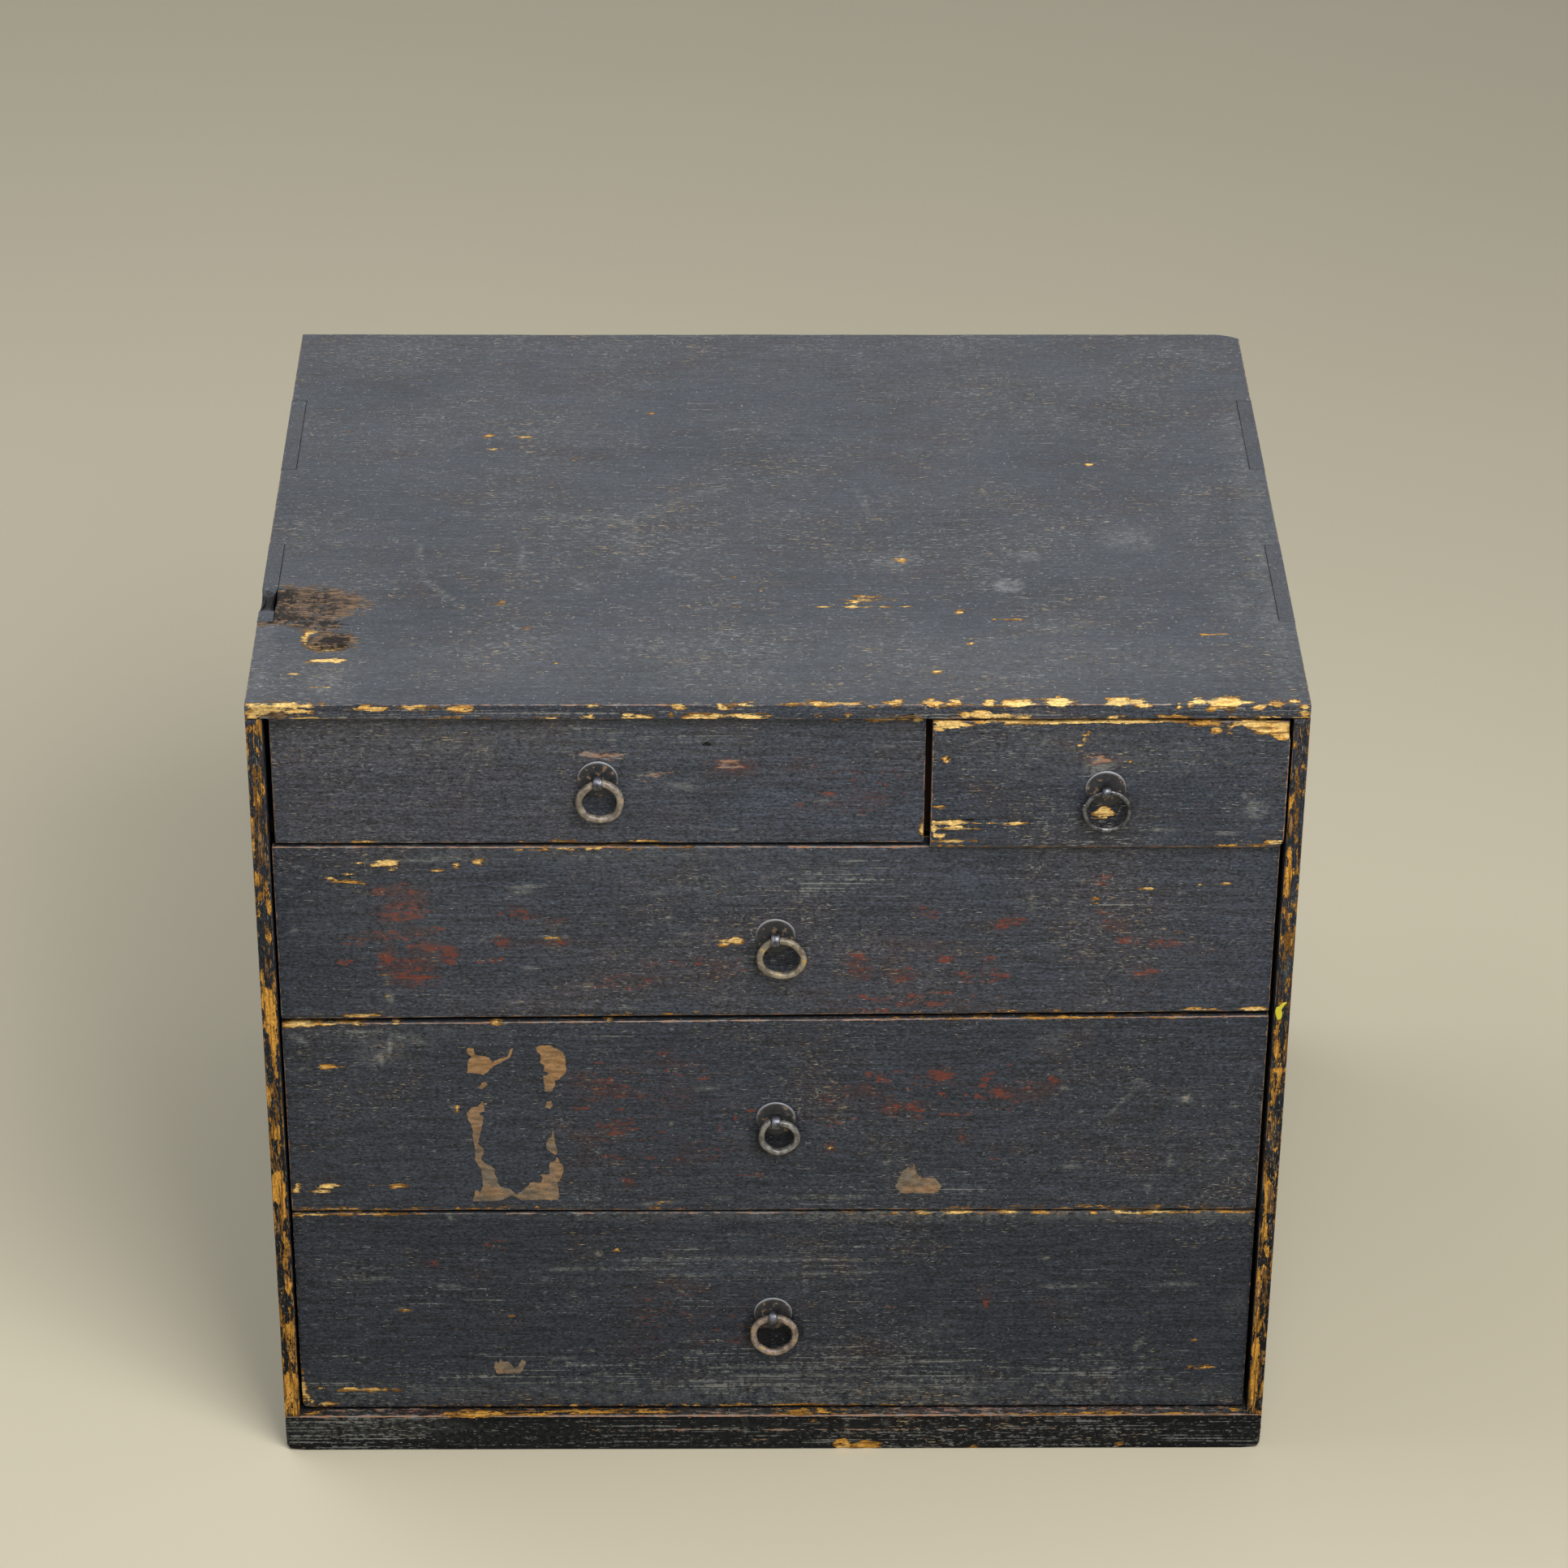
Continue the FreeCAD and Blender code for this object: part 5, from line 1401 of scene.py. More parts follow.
def uneven_edge(points, low, high):
    """The long edges draw back a little, so that the gaps between fronts vary."""
    lower = clamp(1 - (points[:, 2] - low[2]) / 6)
    upper = clamp(1 - (high[2] - points[:, 2]) / 6)
    wave = rough(points, (45, 400, 400), 13.0)
    return lower * (0.1 + 0.2 * wave) - upper * (0.3 + 0.3 * wave)


def round_corner(move, points, corner_x, corner_z, inward):
    """Round off a lower corner.  Inward is 1 for a left corner and -1 for a right one."""
    across = (corner_x - points[:, 0]) * inward + CORNER_ROUND
    down = corner_z + CORNER_ROUND - points[:, 2]
    reach = np.maximum(np.hypot(across, down), 1e-6)
    past = (across > 0) & (down > 0) & (reach > CORNER_ROUND)
    pull = np.where(past, 1 - CORNER_ROUND / reach, 0.0)
    move[:, 0] += inward * across * pull
    move[:, 2] += down * pull


def moved_front(name, points, low, high):
    move = np.zeros_like(points)
    move[:, 2] = tilt_shared_line(name, points, low, high) + uneven_edge(points, low, high)
    if name == "bottom":
        round_corner(move, points, low[0], low[2], 1)
    if name == "top_right":
        round_corner(move, points, high[0], low[2], -1)
    return move


# %% [markdown]
# A front's fields are put together here.  The paint is darkest in a halo round each pull,
# partly a painted shadow of the ring and partly dirt, and `depth` is how far behind the
# face a point lies, which tells the face from the arris and from the raw wood behind.

# %% Wear of a front
PAINT_TURNS = 7.0
BROKEN_CORNER = marks((228, 415, 12, 6))


def ring_shade_halo(name):
    """Where the paint round a pull is darker: a painted shadow of the ring, with dirt."""
    low, high = board_box(name + "_ring")
    middle, reach = (low + high) / 2, (high[0] - low[0]) / 2
    return marks((middle[0], middle[2], reach + 1.5, reach + 1.5))


def wear_front(name):
    def wear(points, low, high):
        x, y, z = points.T
        depth = y - low[1]
        on_face = depth < 1.6
        rubbed = rough(points, (24, 24, 24), 11.0)
        arris = arris_bare(points, low, high, ARRIS_AMOUNT[name] + 0.14 * rubbed, 1.6)
        arris *= depth < 6
        chips = marked(x, z, CHIPS[name], 2.0) * (depth < 4)
        holes = marked(x, z, HOLES[name], 1.4) * on_face
        cracks = cracked(x, z, CRACKS[name]) * on_face
        sink = 0.28 * clamp(chips * 2 - 0.8) + 1.2 * holes + cracks
        if name == "top_right":
            broken = marked(x, z, BROKEN_CORNER, 6.0) * (depth < 5)
            sink += 1.1 * broken * (1 + 0.5 * rough(points, (9, 9, 4), 3.0))
        rim = rim_of(points, low, high, 1.3) * (RIM_SHOWS[name] + 0.2 * rubbed)
        return {
            "radius": 0.7 + 0.8 * clamp(arris + 0.5 * rubbed),
            "sink": sink,
            "move": moved_front(name, points, low, high),
            "bare": np.maximum(arris, chips * 1.15),
            "fresh": np.clip(chips * 1.9, 0.25, 1),
            "red": 0.88 * marked(x, z, RED_PATCHES[name], 7.0) * on_face,
            "dust": (0.06 + marked(x, z, DUSTY[name], 12.0)
                     + 1.9 * marked(x, z, SCRATCHES[name], 1.4)) * on_face,
            "lines": marked(x, z, GRAIN_LINES[name], 16.0) * on_face,
            # Painted shade: holes and cracks are coloured near black through this field.
            "char_and_shade": np.maximum(holes, 0.9 * cracks),
            "rim": np.maximum(rim, marked(x, z, RUBBED.get(name, ()), 3.0)) * (depth < 4),
            # Painted shadow in part: the halo round the pull darkens the paint where the ring's
            # shadow falls.
            "fade_and_shade": FADE_AND_SHADE[name] - 0.34 * marked(x, z, ring_shade_halo(name), 6.0)
            + marked(x, z, PALER.get(name, ()), 30.0) - marked(x, z, DARKER.get(name, ()), 30.0),
            "raw": clamp((depth - PAINT_TURNS) / 1.5),
        }
    return wear


def front_hollows(name):
    """Room behind a front for its drawer's sides, open at the top, and its bottom."""
    hollows = []
    for side in ("left", "right"):
        low, high = board_box("%s_%s" % (name, side))
        hollows.append((low, high + np.array([0, 0, 2 * BEYOND])))
    return hollows + seats_of(name + "_bottom")


# %% [markdown]
# Each front rides on its own drawer, so it slides out with the box behind it.

# %% The five fronts
DRAWERS = ("top_left", "top_right", "second", "third", "bottom")
for name in DRAWERS:
    worn_board(name + "_face", name + "_front", "x", (1.8, 2.5, 1.0), name + "_drawer",
               wear_front(name), front_hollows(name))

# %% [markdown]
# ## Forged iron
# Three irons are needed: the dark plates and eyes, with a painted highlight along the
# upper rim of each plate, the tan and pitted rings, and one thin ring of nearly clean
# steel.  They share one recipe, with pits and flecks of ochre dirt over a base colour,
# because the same smith's iron has only aged differently.

# %% Iron finishes
GREY_DIRT = (0.12, 0.1, 0.08)


def make_iron(name, colour, dark, fleck, metallic, roughness, flecks=0.62, rim_highlight=None):
    """Iron with dark pits.  Dirt shows where a noise is over `flecks`."""
    finish = Finish(name, roughness=roughness, metallic=metallic, specular=0.5)
    pits = finish.noise(900.0, detail=4.0, roughness=0.65)
    blots = finish.noise(300.0, detail=5.0, roughness=0.6)
    tone = finish.blend(blots, 0.36, 0.62, dark, colour)
    tone = finish.blend(pits, 0.54, 0.64, tone, dark, 0.8)
    tone = finish.blend(blots, flecks, flecks + 0.04, tone, fleck)
    # A painted highlight: where the rim field is high, the colour turns to the light rim colour.
    if rim_highlight is not None:
        tone = finish.mix(finish.field("rim"), tone, rim_highlight)
    normal = finish.bump(pits, 0.0003, 0.6, finish.bump(blots, 0.0005, 0.5))
    uneven = finish.ramp(blots, 0.3, 0.7, roughness - 0.08, roughness + 0.12)
    return finish.finish(tone, normal, uneven)


# The light rim colour of the plates is a painted highlight on their upper rim.
plate_iron = make_iron("plate_iron", (0.033, 0.034, 0.04), dark=(0.018, 0.018, 0.021),
                       fleck=(0.2, 0.13, 0.08), metallic=0.25, roughness=0.5,
                       flecks=0.575, rim_highlight=(0.27, 0.275, 0.29))
eye_iron = make_iron("eye_iron", (0.16, 0.165, 0.19), dark=(0.045, 0.045, 0.05),
                     fleck=GREY_DIRT, metallic=0.85, roughness=0.3, flecks=0.72)
ring_finishes = {
    "top_left": make_iron("ring_iron_tan", (0.36, 0.31, 0.255), dark=(0.15, 0.125, 0.1),
                          fleck=(0.5, 0.31, 0.09), metallic=0.3, roughness=0.46),
    "top_right": make_iron("ring_iron_steel", (0.17, 0.17, 0.18), dark=(0.04, 0.04, 0.045),
                           fleck=GREY_DIRT, metallic=0.9, roughness=0.3, flecks=0.74),
    "second": make_iron("ring_iron_olive", (0.34, 0.29, 0.215), dark=(0.14, 0.115, 0.085),
                        fleck=(0.5, 0.33, 0.08), metallic=0.3, roughness=0.46),
    "third": make_iron("ring_iron_grey", (0.3, 0.29, 0.27), dark=(0.11, 0.105, 0.1),
                       fleck=(0.33, 0.27, 0.17), metallic=0.5, roughness=0.4, flecks=0.66),
    "bottom": make_iron("ring_iron_pink", (0.36, 0.28, 0.23), dark=(0.15, 0.115, 0.09),
                        fleck=(0.48, 0.3, 0.08), metallic=0.3, roughness=0.46),
}
print("iron finishes:", 2 + len(ring_finishes))

# %% [markdown]
# ## Ring pulls
# A pull is three pieces: a round plate, a split pin bent from one flat strip, and a ring.
# A torus would be too perfect: each of these rings was cut from rod, hammered round an
# anvil's horn and never quite closed.  So a ring is a section swept along a hand-bent
# path, whose radius swells and flattens by a few waves, with its two ends meeting beside
# the eye.

# %% Sweeping a section
def sweep(path, side, section, scale):
    """Points and faces of a section carried along an open path in one plane."""
    tangent = np.gradient(path, axis=0)
    tangent /= np.linalg.norm(tangent, axis=1, keepdims=True)
    outward = np.cross(tangent, side)
    across, along_side = section.T
    section_at = (across[None, :, None] * outward[:, None]
                  + along_side[None, :, None] * np.array(side))
    points = path[:, None] + section_at * scale[:, None, None]
    count, around = len(path), len(section)
    number = np.arange(count * around).reshape(count, around)
    turned = np.roll(number, -1, axis=1)
    faces = np.stack([number[:-1], turned[:-1], turned[1:], number[1:]], axis=-1).reshape(-1, 4)
    return points.reshape(-1, 3), faces.tolist() + [number[0][::-1].tolist(), number[-1].tolist()]


def oval(across, along_side, count, square=2.0):
    """A closed section, from round (2) towards square (4 and more)."""
    turn = np.arange(count) * 2 * pi / count
    power = 2.0 / square
    shape = [np.sign(f) * np.abs(f) ** power for f in (np.cos(turn), np.sin(turn))]
    return np.stack([across * shape[0], along_side * shape[1]], axis=1)


def hammer(points, depth, size, seed):
    """Uneven forging marks: push every point a little along all three axes."""
    push = [rough(points, (size,) * 3, seed + 9.3 * k) for k in range(3)]
    return points + depth * np.stack(push, axis=1)


# %% [markdown]
# Each ring gets its own numbers, since no two were bent alike.  It hangs from the point
# of its path that lies in the eye, where the wire has worn thin against the pin.

# %% Rings
class Ring:
    """How one ring was bent: its waves (count, share of the radius, turn), where its ends
    meet, how far one end stands out, the gap between them, how far the ring hangs to the
    right, and how flat its wire is.  Angles are in degrees and lengths in millimetres."""

    def __init__(self, waves, joint, sprung, gap, right, flat=1.0):
        self.waves, self.joint, self.sprung = waves, joint, sprung
        self.gap, self.right, self.flat = gap, right, flat


RINGS = {
    "top_left": Ring([(2, 0.012, 60), (3, 0.02, 200), (5, 0.01, 20)], 10, 0.0, 0.6, 0.8),
    "top_right": Ring([(2, 0.01, 10), (3, 0.006, 40)], 75, 0.9, -1.6, 0.9),
    "second": Ring([(2, 0.035, 165), (3, 0.014, 90), (5, 0.006, 0)], 14, 0.8, 0.5, 2.0, 0.96),
    "third": Ring([(2, 0.02, 150), (3, 0.03, 15), (5, 0.02, 200)], 18, 0.9, 1.3, 1.7, 0.92),
    "bottom": Ring([(2, 0.008, 90), (3, 0.014, 260), (6, 0.008, 30)], 8, 0.0, 0.4, 0.9),
}
PATH_POINTS = 110
WIRE_SIDES = 18
WORN_BY, WORN_OVER = 0.1, 2.8


def ring_path(name, radius, eye):
    """The wire's middle, in the plane of the front, through the middle of the eye."""
    ring = RINGS[name]
    start = pi / 2 + radians(ring.joint)
    half_gap = ring.gap / radius / 2
    turn = np.linspace(start + half_gap, start + 2 * pi - half_gap, PATH_POINTS)
    swell = sum(share * np.cos(count * (turn - radians(lean)))
                for count, share, lean in ring.waves)
    leaving = clamp(1 - (turn - turn[0]) / 0.7) ** 2
    reach = radius * (1 + swell) + ring.sprung * leaving
    path = np.stack([reach * np.cos(turn), np.zeros(PATH_POINTS), reach * np.sin(turn)], axis=1)
    top = pi / 2 + np.arcsin(ring.right / radius)
    hang = np.argmin(np.abs(turn - (top + 2 * pi)))
    if hang == PATH_POINTS - 1:
        hang = np.argmin(np.abs(turn - top))
    return path - path[hang] + eye


def make_ring(name):
    low, high = board_box(name + "_ring")
    wire = (high[1] - low[1]) / 2
    eye = np.array([(low[0] + high[0]) / 2, (low[1] + high[1]) / 2, high[2] - wire])
    path = ring_path(name, (high[0] - low[0]) / 2 - wire, eye)
    section = oval(wire * RINGS[name].flat, wire, WIRE_SIDES, 2.3)
    ends = np.minimum(np.arange(PATH_POINTS), np.arange(PATH_POINTS)[::-1])
    scale = 0.97 - 0.14 * clamp(1 - ends / 2.0)
    scale -= WORN_BY * np.exp(-(np.linalg.norm(path - eye, axis=1) / WORN_OVER) ** 2)
    points, faces = sweep(path, (0.0, 1.0, 0.0), section, scale)
    points = hammer(points, 0.035 * wire, 2.4, 40.0 + len(name))
    new_piece(name + "_pull_ring", points, faces, ring_finishes[name], name + "_ring",
              [name + "_ring"])


# %% [markdown]
# The pin that holds a ring is one flat strip, bent round the wire.  Its legs go through
# the plate and the board and are clinched inside.  A loop with two rods would look much
# the same from afar, but one strip swept along the fold has the real edges up close.

# %% Split pins
STRIP_WIDTH, STRIP_THICK = 4.4, 1.0
LEG_LENGTH = 11.0


def make_eye(name):
    """One strip: up the inside of the front, through it, round the ring and back."""
    low, high = board_box(name + "_eye")
    ring_low, ring_high = board_box(name + "_ring")
    wire = (ring_high[1] - ring_low[1]) / 2
    middle = np.array([(low[0] + high[0]) / 2, (ring_low[1] + ring_high[1]) / 2,
                       ring_high[2] - wire])
    loop = middle[1] - low[1] - STRIP_THICK / 2
    inside = high[1] - STRIP_THICK / 2 - middle[1]
    half_gap = STRIP_THICK / 2
    open_angle = atan2(half_gap, loop)
    turns = np.linspace(open_angle, 2 * pi - open_angle, 40)
    leg_tip = STRIP_THICK + LEG_LENGTH - 0.2
    upper = [(inside, leg_tip), (inside, leg_tip * 0.6), (inside, 2.0), (inside - 0.15, 1.1),
             (inside - 0.7, half_gap), (inside - 3.0, half_gap), (loop + 1.2, half_gap)]
    bend = [(loop * cos(turn), loop * sin(turn)) for turn in turns]
    lower = [(y, -z) for y, z in reversed(upper)]
    flat = np.array(upper + bend + lower)
    path = np.stack([np.zeros(len(flat)), flat[:, 0], flat[:, 1]], axis=1) + middle
    section = oval(STRIP_THICK / 2, STRIP_WIDTH / 2, 14, 3.0)
    crown = 1 - (section[:, 1] / (STRIP_WIDTH / 2)) ** 2
    section[:, 0] += 0.18 * crown
    ends = np.minimum(np.arange(len(path)), np.arange(len(path))[::-1])
    scale = 0.98 - 0.4 * clamp(1 - ends / 1.5)
    points, faces = sweep(path, (1.0, 0.0, 0.0), section, scale)
    points = hammer(points, 0.04, 2.0, 60.0 + len(name))
    new_piece(name + "_split_pin", points, faces, eye_iron, name + "_drawer",
              [name + "_eye"])


# %% [markdown]
# The plate keeps the ring off the paint.  It is turned from a profile, then knocked
# about a little, and its upper rim is painted lighter, a painted highlight.

# %% Plates
PLATE_DOME = 0.25
PLATE_PROFILE = [
    (0.0, 0.0), (0.5, 0.0), (0.86, 0.02), (0.93, 0.06), (0.96, 0.12), (0.985, 0.35), (1.0, 0.7),
    (1.0, 1.0), (0.9, 1.0), (0.0, 1.0),
]
PLATE_SIDES = 72


def make_plate(name):
    """A disc turned from a profile: (share of the radius, share of the thickness)."""
    low, high = board_box(name + "_plate")
    middle = (low + high) / 2
    radius, thick = (high[0] - low[0]) / 2, high[1] - low[1]
    points, faces = [(middle[0], low[1], middle[2])], []
    turns = np.arange(PLATE_SIDES) * 2 * pi / PLATE_SIDES
    for share, depth in PLATE_PROFILE[1:-1]:
        reach = radius * share * (1 + 0.008 * np.cos(3 * turns + len(name)))
        y = low[1] + thick * depth + PLATE_DOME * share ** 4 * (depth < 0.5)
        points += [(middle[0] + out * cos(turn), y, middle[2] + out * sin(turn))
                   for out, turn in zip(reach, turns)]
    back = len(points)
    points.append((middle[0], high[1], middle[2]))
    rings = len(PLATE_PROFILE) - 2
    for turn in range(PLATE_SIDES):
        after = (turn + 1) % PLATE_SIDES
        faces.append([0, 1 + turn, 1 + after])
        for level in range(rings - 1):
            first, second = 1 + level * PLATE_SIDES, 1 + (level + 1) * PLATE_SIDES
            faces.append([first + turn, second + turn, second + after, first + after])
        last = 1 + (rings - 1) * PLATE_SIDES
        faces.append([last + turn, back, last + after])
    points = np.array(points)
    reach = np.hypot(points[:, 0] - middle[0], points[:, 2] - middle[2]) / radius
    # Painted highlight: the light rim is kept to the plate's upper part, where light catches it.
    upper = clamp(0.4 + (points[:, 2] - middle[2]) / radius)
    plate = new_piece(name + "_back_plate", hammer(points, 0.05, 5.0, 80.0 + len(name)), faces,
                      plate_iron, name + "_drawer", [name + "_plate"])
    write_fields(plate.data, {"rim": clamp((reach - 0.92) / 0.04) * upper})


# %% All the pulls
for name in DRAWERS:
    make_plate(name)
    make_eye(name)
    make_ring(name)
print("pulls:", len(DRAWERS))

# %% [markdown]
# ## Scraps of an old label
# A paper label was once pasted on the third drawer.  Most of it has gone, and scraps of
# brown paper mark its edge.  A painted patch could stand for them, but torn paper has a
# crisp ragged outline and a little thickness, so each scrap is a listed outline, torn
# finer with noise, filled, and pressed on the wood.

# %% Outlines of the scraps
SCRAPS = {
    "third": [
        [(-145, 236), (-142, 235.8), (-141.3, 232), (-138, 231.5), (-134.5, 230.5),
         (-133.5, 228), (-130.5, 229.6), (-126.5, 231.5), (-125, 234.5), (-123.5, 236),
         (-124, 233), (-126, 230), (-129.5, 228), (-133, 226), (-135, 223.5), (-138, 221),
         (-140, 221.8), (-145.5, 221.8), (-145, 227), (-144.5, 230), (-143, 231), (-145, 233)],
        [(-140.3, 213.2), (-139, 216), (-137, 217.4), (-135.6, 216), (-136, 214.8),
         (-138.5, 213)],
        [(-113, 236), (-111, 237.5), (-106, 237.5), (-104, 236), (-101, 234.5), (-99.5, 233),
         (-98.8, 225), (-99, 222), (-100.5, 220), (-102.5, 218), (-104, 217.5), (-104.5, 214),
         (-105.5, 211.5), (-109.5, 211.4), (-109.3, 215), (-109.8, 220.2), (-107.6, 220.6),
         (-107.2, 222), (-109.5, 223), (-109, 226), (-111, 228), (-110.7, 232), (-112, 234)],
        [(-109, 202), (-108.5, 205.5), (-106, 206), (-105.5, 203.5), (-106.5, 201.7)],
        [(-143.5, 202), (-140.5, 203), (-138.5, 205.5), (-138, 200), (-140, 199.3),
         (-140, 197.8), (-138.3, 197), (-138.5, 194), (-140.2, 187), (-141.5, 181.5),
         (-139, 179), (-138.6, 177), (-140.2, 172), (-138, 169.5), (-134, 167), (-133.8, 163),
         (-131.5, 156), (-127, 154.5), (-123.7, 151.5), (-120, 154.5), (-117, 158.5),
         (-112, 158.5), (-111, 161), (-112, 163), (-109, 163), (-107.5, 163.5), (-108, 167),
         (-107.5, 170), (-105, 171), (-104, 173.5), (-101.3, 168), (-101, 165), (-102, 161),
         (-104, 158.3), (-103.3, 150), (-104, 148.3), (-116, 148.2), (-121, 148.3), (-126, 151),
         (-129, 149), (-130.5, 148), (-144.5, 147.5), (-143.5, 153.5), (-142, 154),
         (-141, 152.5), (-140, 156), (-140, 165.5), (-143, 171.5), (-143, 179), (-143.8, 184),
         (-143.8, 191), (-145.5, 195), (-146, 199)],
        [(-105.8, 190), (-105.2, 186), (-103.8, 176), (-104.5, 174.5), (-106, 175.5),
         (-108.5, 178), (-109.2, 181.5), (-108, 184), (-106.5, 185)],
        [(61, 165), (63.5, 167.3), (65, 166.8), (66, 168.8), (66.8, 164.5), (68, 162.5),
         (70, 160.5), (72, 160.7), (76, 160.3), (78.5, 157.5), (79.5, 155.5), (78.5, 153.5),
         (76.5, 152), (70, 151.7), (60, 151.8), (57.5, 156), (58.5, 159), (60.2, 163.5)],
    ],
    "bottom": [
        [(-137, 47), (-136, 51), (-134.5, 50), (-134, 53), (-133, 51), (-130, 51), (-128.5, 49),
         (-127, 46.5), (-125.5, 47.5), (-124, 50.5), (-122.8, 52.5), (-121.5, 50.5), (-122, 48),
         (-123, 45), (-125, 43.8), (-135, 43.6)],
    ],
}
print("outlines:", {drawer: len(outlines) for drawer, outlines in SCRAPS.items()})

# %% [markdown]
# The paper has gone brown, grey where it was wetted, and tan near the label's top.  Its
# fibres are far finer than the wood's, so its noises have scales of their own.

# %% Old paper
PAPER_BROWN, PAPER_GREY = (0.31, 0.19, 0.105), (0.17, 0.142, 0.108)
PAPER_TAN, PAPER_GRIME = (0.37, 0.205, 0.085), (0.085, 0.062, 0.045)
TAN_FROM, TAN_TO = 0.195, 0.225


def make_paper(name):
    finish = Finish(name, roughness=0.85, specular=0.15)
    stains = finish.noise((60.0, 60.0, 90.0), detail=6.0, roughness=0.7)
    folds = finish.noise((160.0, 160.0, 420.0), detail=5.0, roughness=0.75)
    pulp = finish.noise(1400.0, detail=3.0)
    tone = finish.blend(stains, 0.38, 0.62, PAPER_BROWN, PAPER_GREY)
    tone = finish.blend(finish.place("Z"), TAN_FROM, TAN_TO, tone, PAPER_TAN, 0.7)
    tone = finish.shade(tone, finish.ramp(folds, 0.38, 0.62, 1.25, 0.65))
    tone = finish.blend(pulp, 0.5, 0.7, tone, PAPER_GRIME, 0.35)
    return finish.finish(tone, finish.bump(pulp, 0.0001, 0.6))


old_paper = make_paper("old_paper")
print("paper finish, nodes:", len(old_paper.node_tree.nodes))

# %% [markdown]
# Each outline is torn finer, filled, and given thickness.  The paper's face stands just
# proud of the board and its back lies inside it, so that no gap shows at its edge where
# the worn wood has sunk.  Noise vectors start from a seed, which is the clock until one
# is set, so setting it makes the paper tear the same way every time.

# %% Scraps of paper
PAPER_STANDS, PAPER_SUNK = 0.02, 0.5
TEAR_SEED = 7
noise.seed_set(TEAR_SEED)


def torn(outline, step=0.6, ragged=0.55):
    """The outline with more points and a torn edge."""
    edge = []
    for (x0, z0), (x1, z1) in zip(outline, outline[1:] + outline[:1]):
        parts = max(1, round(hypot(x1 - x0, z1 - z0) / step))
        edge += [(x0 + (x1 - x0) * k / parts, z0 + (z1 - z0) * k / parts) for k in range(parts)]
    wander = [noise.noise_vector((x * 0.35, z * 0.35, 4.0))
              + 0.6 * noise.noise_vector((x * 1.1, z * 1.1, 0.0)) for x, z in edge]
    return [(x + ragged * way.x, z + ragged * way.y) for (x, z), way in zip(edge, wander)]


def make_scrap(name, drawer, outline, material):
    face = board_box(drawer + "_front")[0][1]
    shape = bmesh.new()
    front = [shape.verts.new((x * MM, (face + PAPER_STANDS) * MM, z * MM))
             for x, z in torn(outline)]
    ring = [shape.edges.new(pair) for pair in zip(front, front[1:] + front[:1])]
    bmesh.ops.triangle_fill(shape, edges=ring, use_beauty=True)
    solid = bmesh.ops.extrude_face_region(shape, geom=shape.faces[:])
    moved = [part for part in solid["geom"] if isinstance(part, bmesh.types.BMVert)]
    bmesh.ops.translate(shape, verts=moved, vec=(0, PAPER_SUNK * MM, 0))
    bmesh.ops.recalc_face_normals(shape, faces=shape.faces)
    mesh = bpy.data.meshes.new(name)
    shape.to_mesh(mesh)
    shape.free()
    mesh.materials.append(material)
    scrap = put_in_scene(name, mesh)
    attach(scrap, drawer + "_drawer")


for drawer, outlines in SCRAPS.items():
    for count, outline in enumerate(outlines, 1):
        make_scrap("%s_paper_scrap_%d" % (drawer, count), drawer, outline, old_paper)
print("paper scraps:", sum(len(outlines) for outlines in SCRAPS.values()))

# %% [markdown]
# Someone once let a drop of bright yellow paint run over the front edge of the right
# side.  It is a small lens of paint with a tail, set on the wood like a scrap.

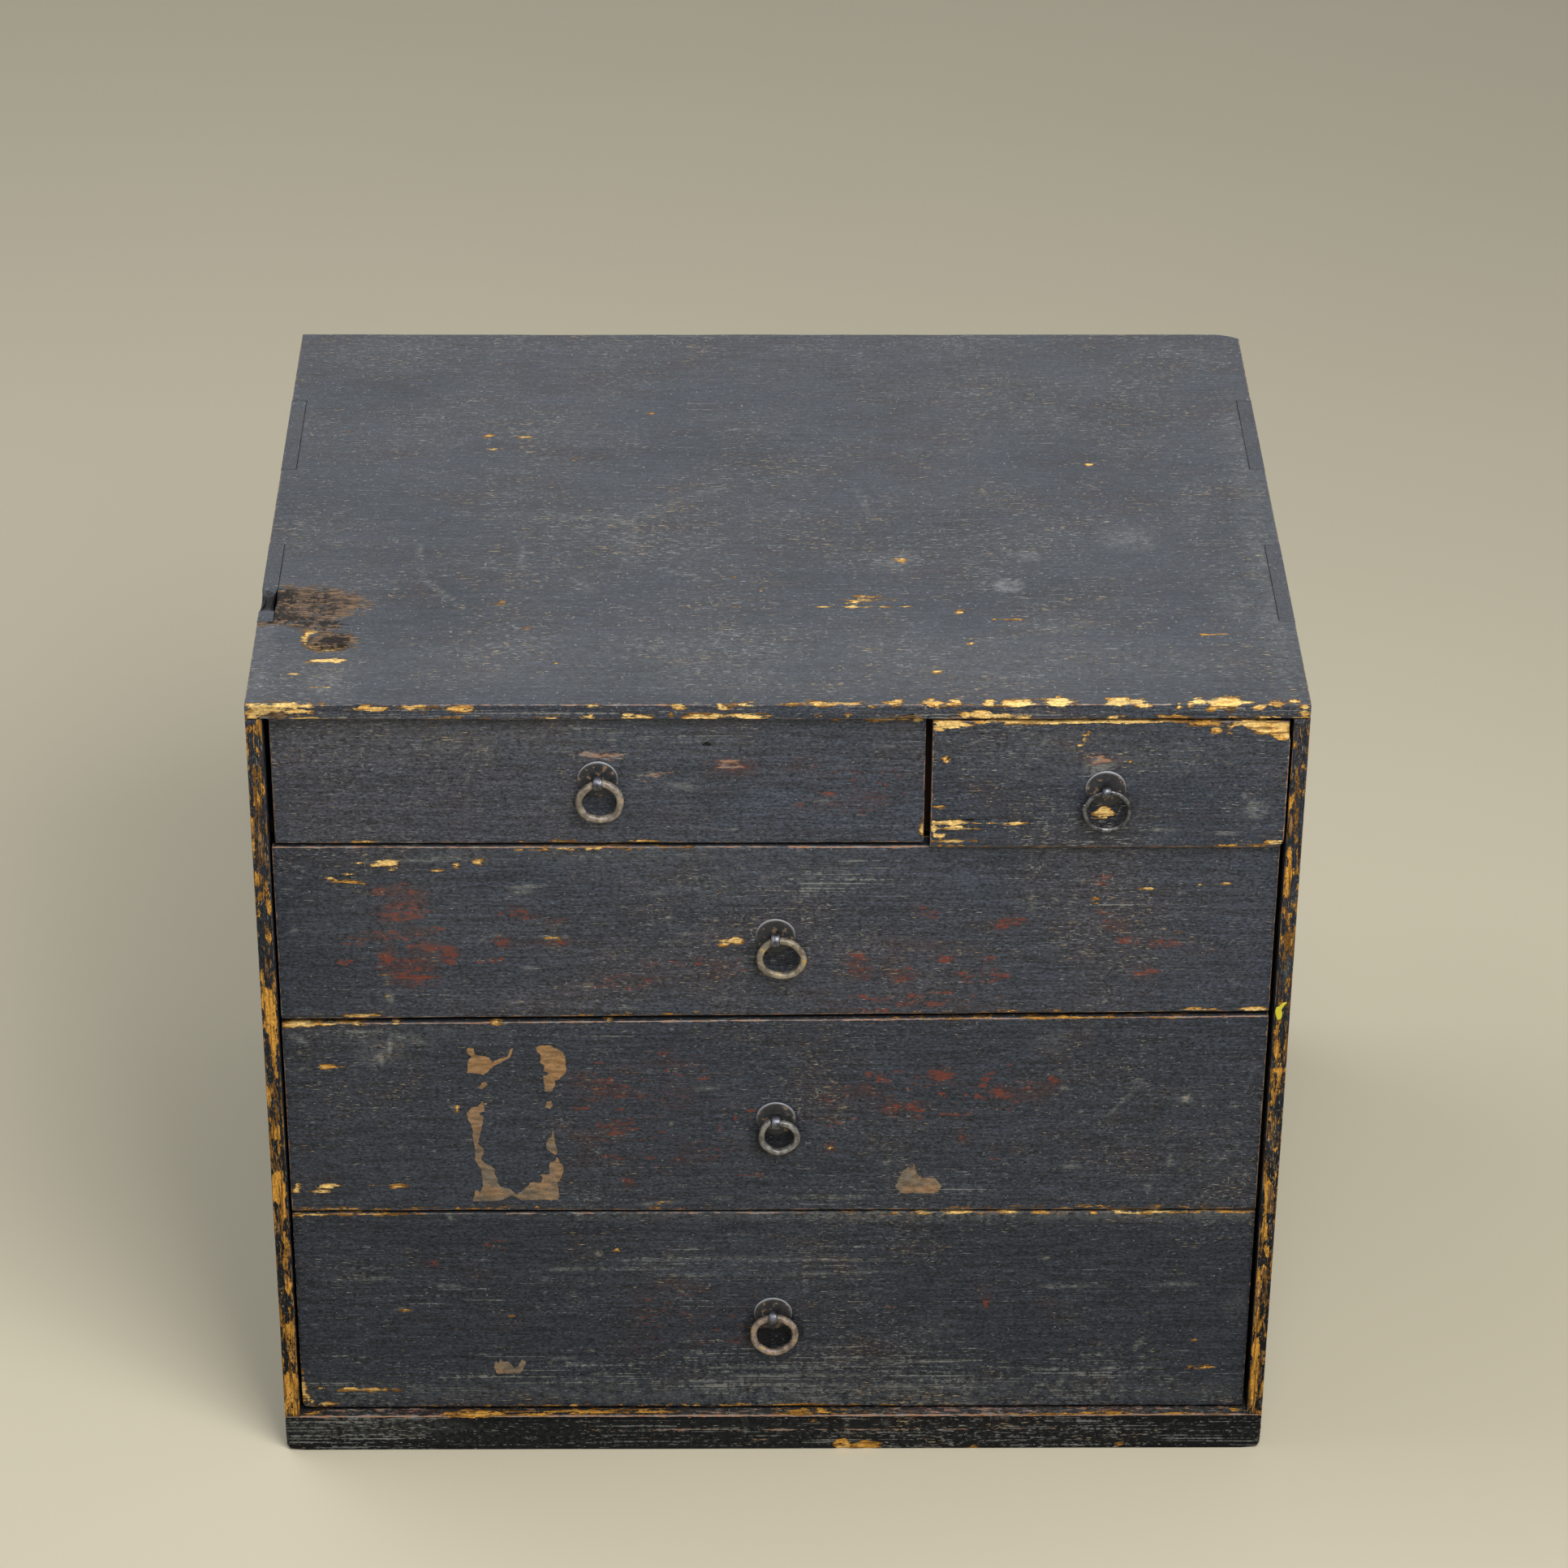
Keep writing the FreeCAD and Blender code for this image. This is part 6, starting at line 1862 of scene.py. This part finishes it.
# %% A drop of paint
DROP = [
    (237.9, 264.8), (236.0, 264.4), (234.8, 262.6), (233.4, 261.6), (232.9, 259.6), (233.2, 257.4),
    (233.6, 255.6), (234.4, 254.6), (235.6, 255.0), (236.2, 256.6), (236.3, 258.6), (235.6, 260.4),
    (235.9, 262.2), (237.0, 263.6),
]
DROP_MIDDLE = np.array([234.7, 258.6])
DROP_SHELLS = [(1.0, 0.5), (1.0, 0.02), (0.82, -0.02), (0.5, -0.03)]
DROP_FOOT, DROP_CROWN = 0.5, -0.04
YELLOW, DEEP_YELLOW = (0.72, 0.62, 0.03), (0.55, 0.5, 0.02)


def make_drop():
    """A stack of smaller and smaller outlines: (share of its size, depth in the wood)."""
    finish = Finish("yellow_paint", roughness=0.35, specular=0.5)
    tone = finish.mix(finish.noise(500.0), YELLOW, DEEP_YELLOW)
    face = board_box("right_side")[0][1]
    rim = np.array(torn(DROP, step=0.8, ragged=0.25))
    points = [(x, face + depth, z) for share, depth in DROP_SHELLS
              for x, z in (DROP_MIDDLE + (rim - DROP_MIDDLE) * share).tolist()]
    count = len(rim)
    points += [(DROP_MIDDLE[0], face + depth, DROP_MIDDLE[1]) for depth in (DROP_CROWN, DROP_FOOT)]
    faces = []
    for k in range(count):
        after = (k + 1) % count
        for level in range(len(DROP_SHELLS) - 1):
            at, up = level * count, (level + 1) * count
            faces.append([at + k, at + after, up + after, up + k])
        top = (len(DROP_SHELLS) - 1) * count
        faces += [[top + k, top + after, len(points) - 2], [after, k, len(points) - 1]]
    drop = new_piece("yellow_drop", np.array(points), faces, finish.finish(tone), "case")
    shape = bmesh.new()
    shape.from_mesh(drop.data)
    bmesh.ops.recalc_face_normals(shape, faces=shape.faces)
    shape.to_mesh(drop.data)
    shape.free()
    print("yellow drop, faces:", len(faces))


make_drop()

# %% [markdown]
# ## The hidden joinery
# Shelves, backs, drawer boxes and pegs are right as they came from CAD, so they keep
# their meshes and get aged bare wood.  The grain runs along each board's length, and
# pegs that end in a painted face are painted over.

# %% Finishes for the carried-over pieces
def give(node, material):
    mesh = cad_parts[node].data
    mesh.materials.clear()
    mesh.materials.append(material)


for node in SHELVES + BACKS:
    give(node, bare_level)
give("top_divider", bare_deep)
give("case_pegs", painted_ends)
give("back_pegs", peg_wood)
for name in DRAWERS:
    for part in ("left", "right"):
        give("%s_%s" % (name, part), bare_deep)
    for part in ("back", "bottom"):
        give("%s_%s" % (name, part), bare_level)
    give(name + "_pegs", peg_wood)
print("pieces kept from CAD:", len(SHELVES + BACKS) + 3 + 5 * len(DRAWERS))
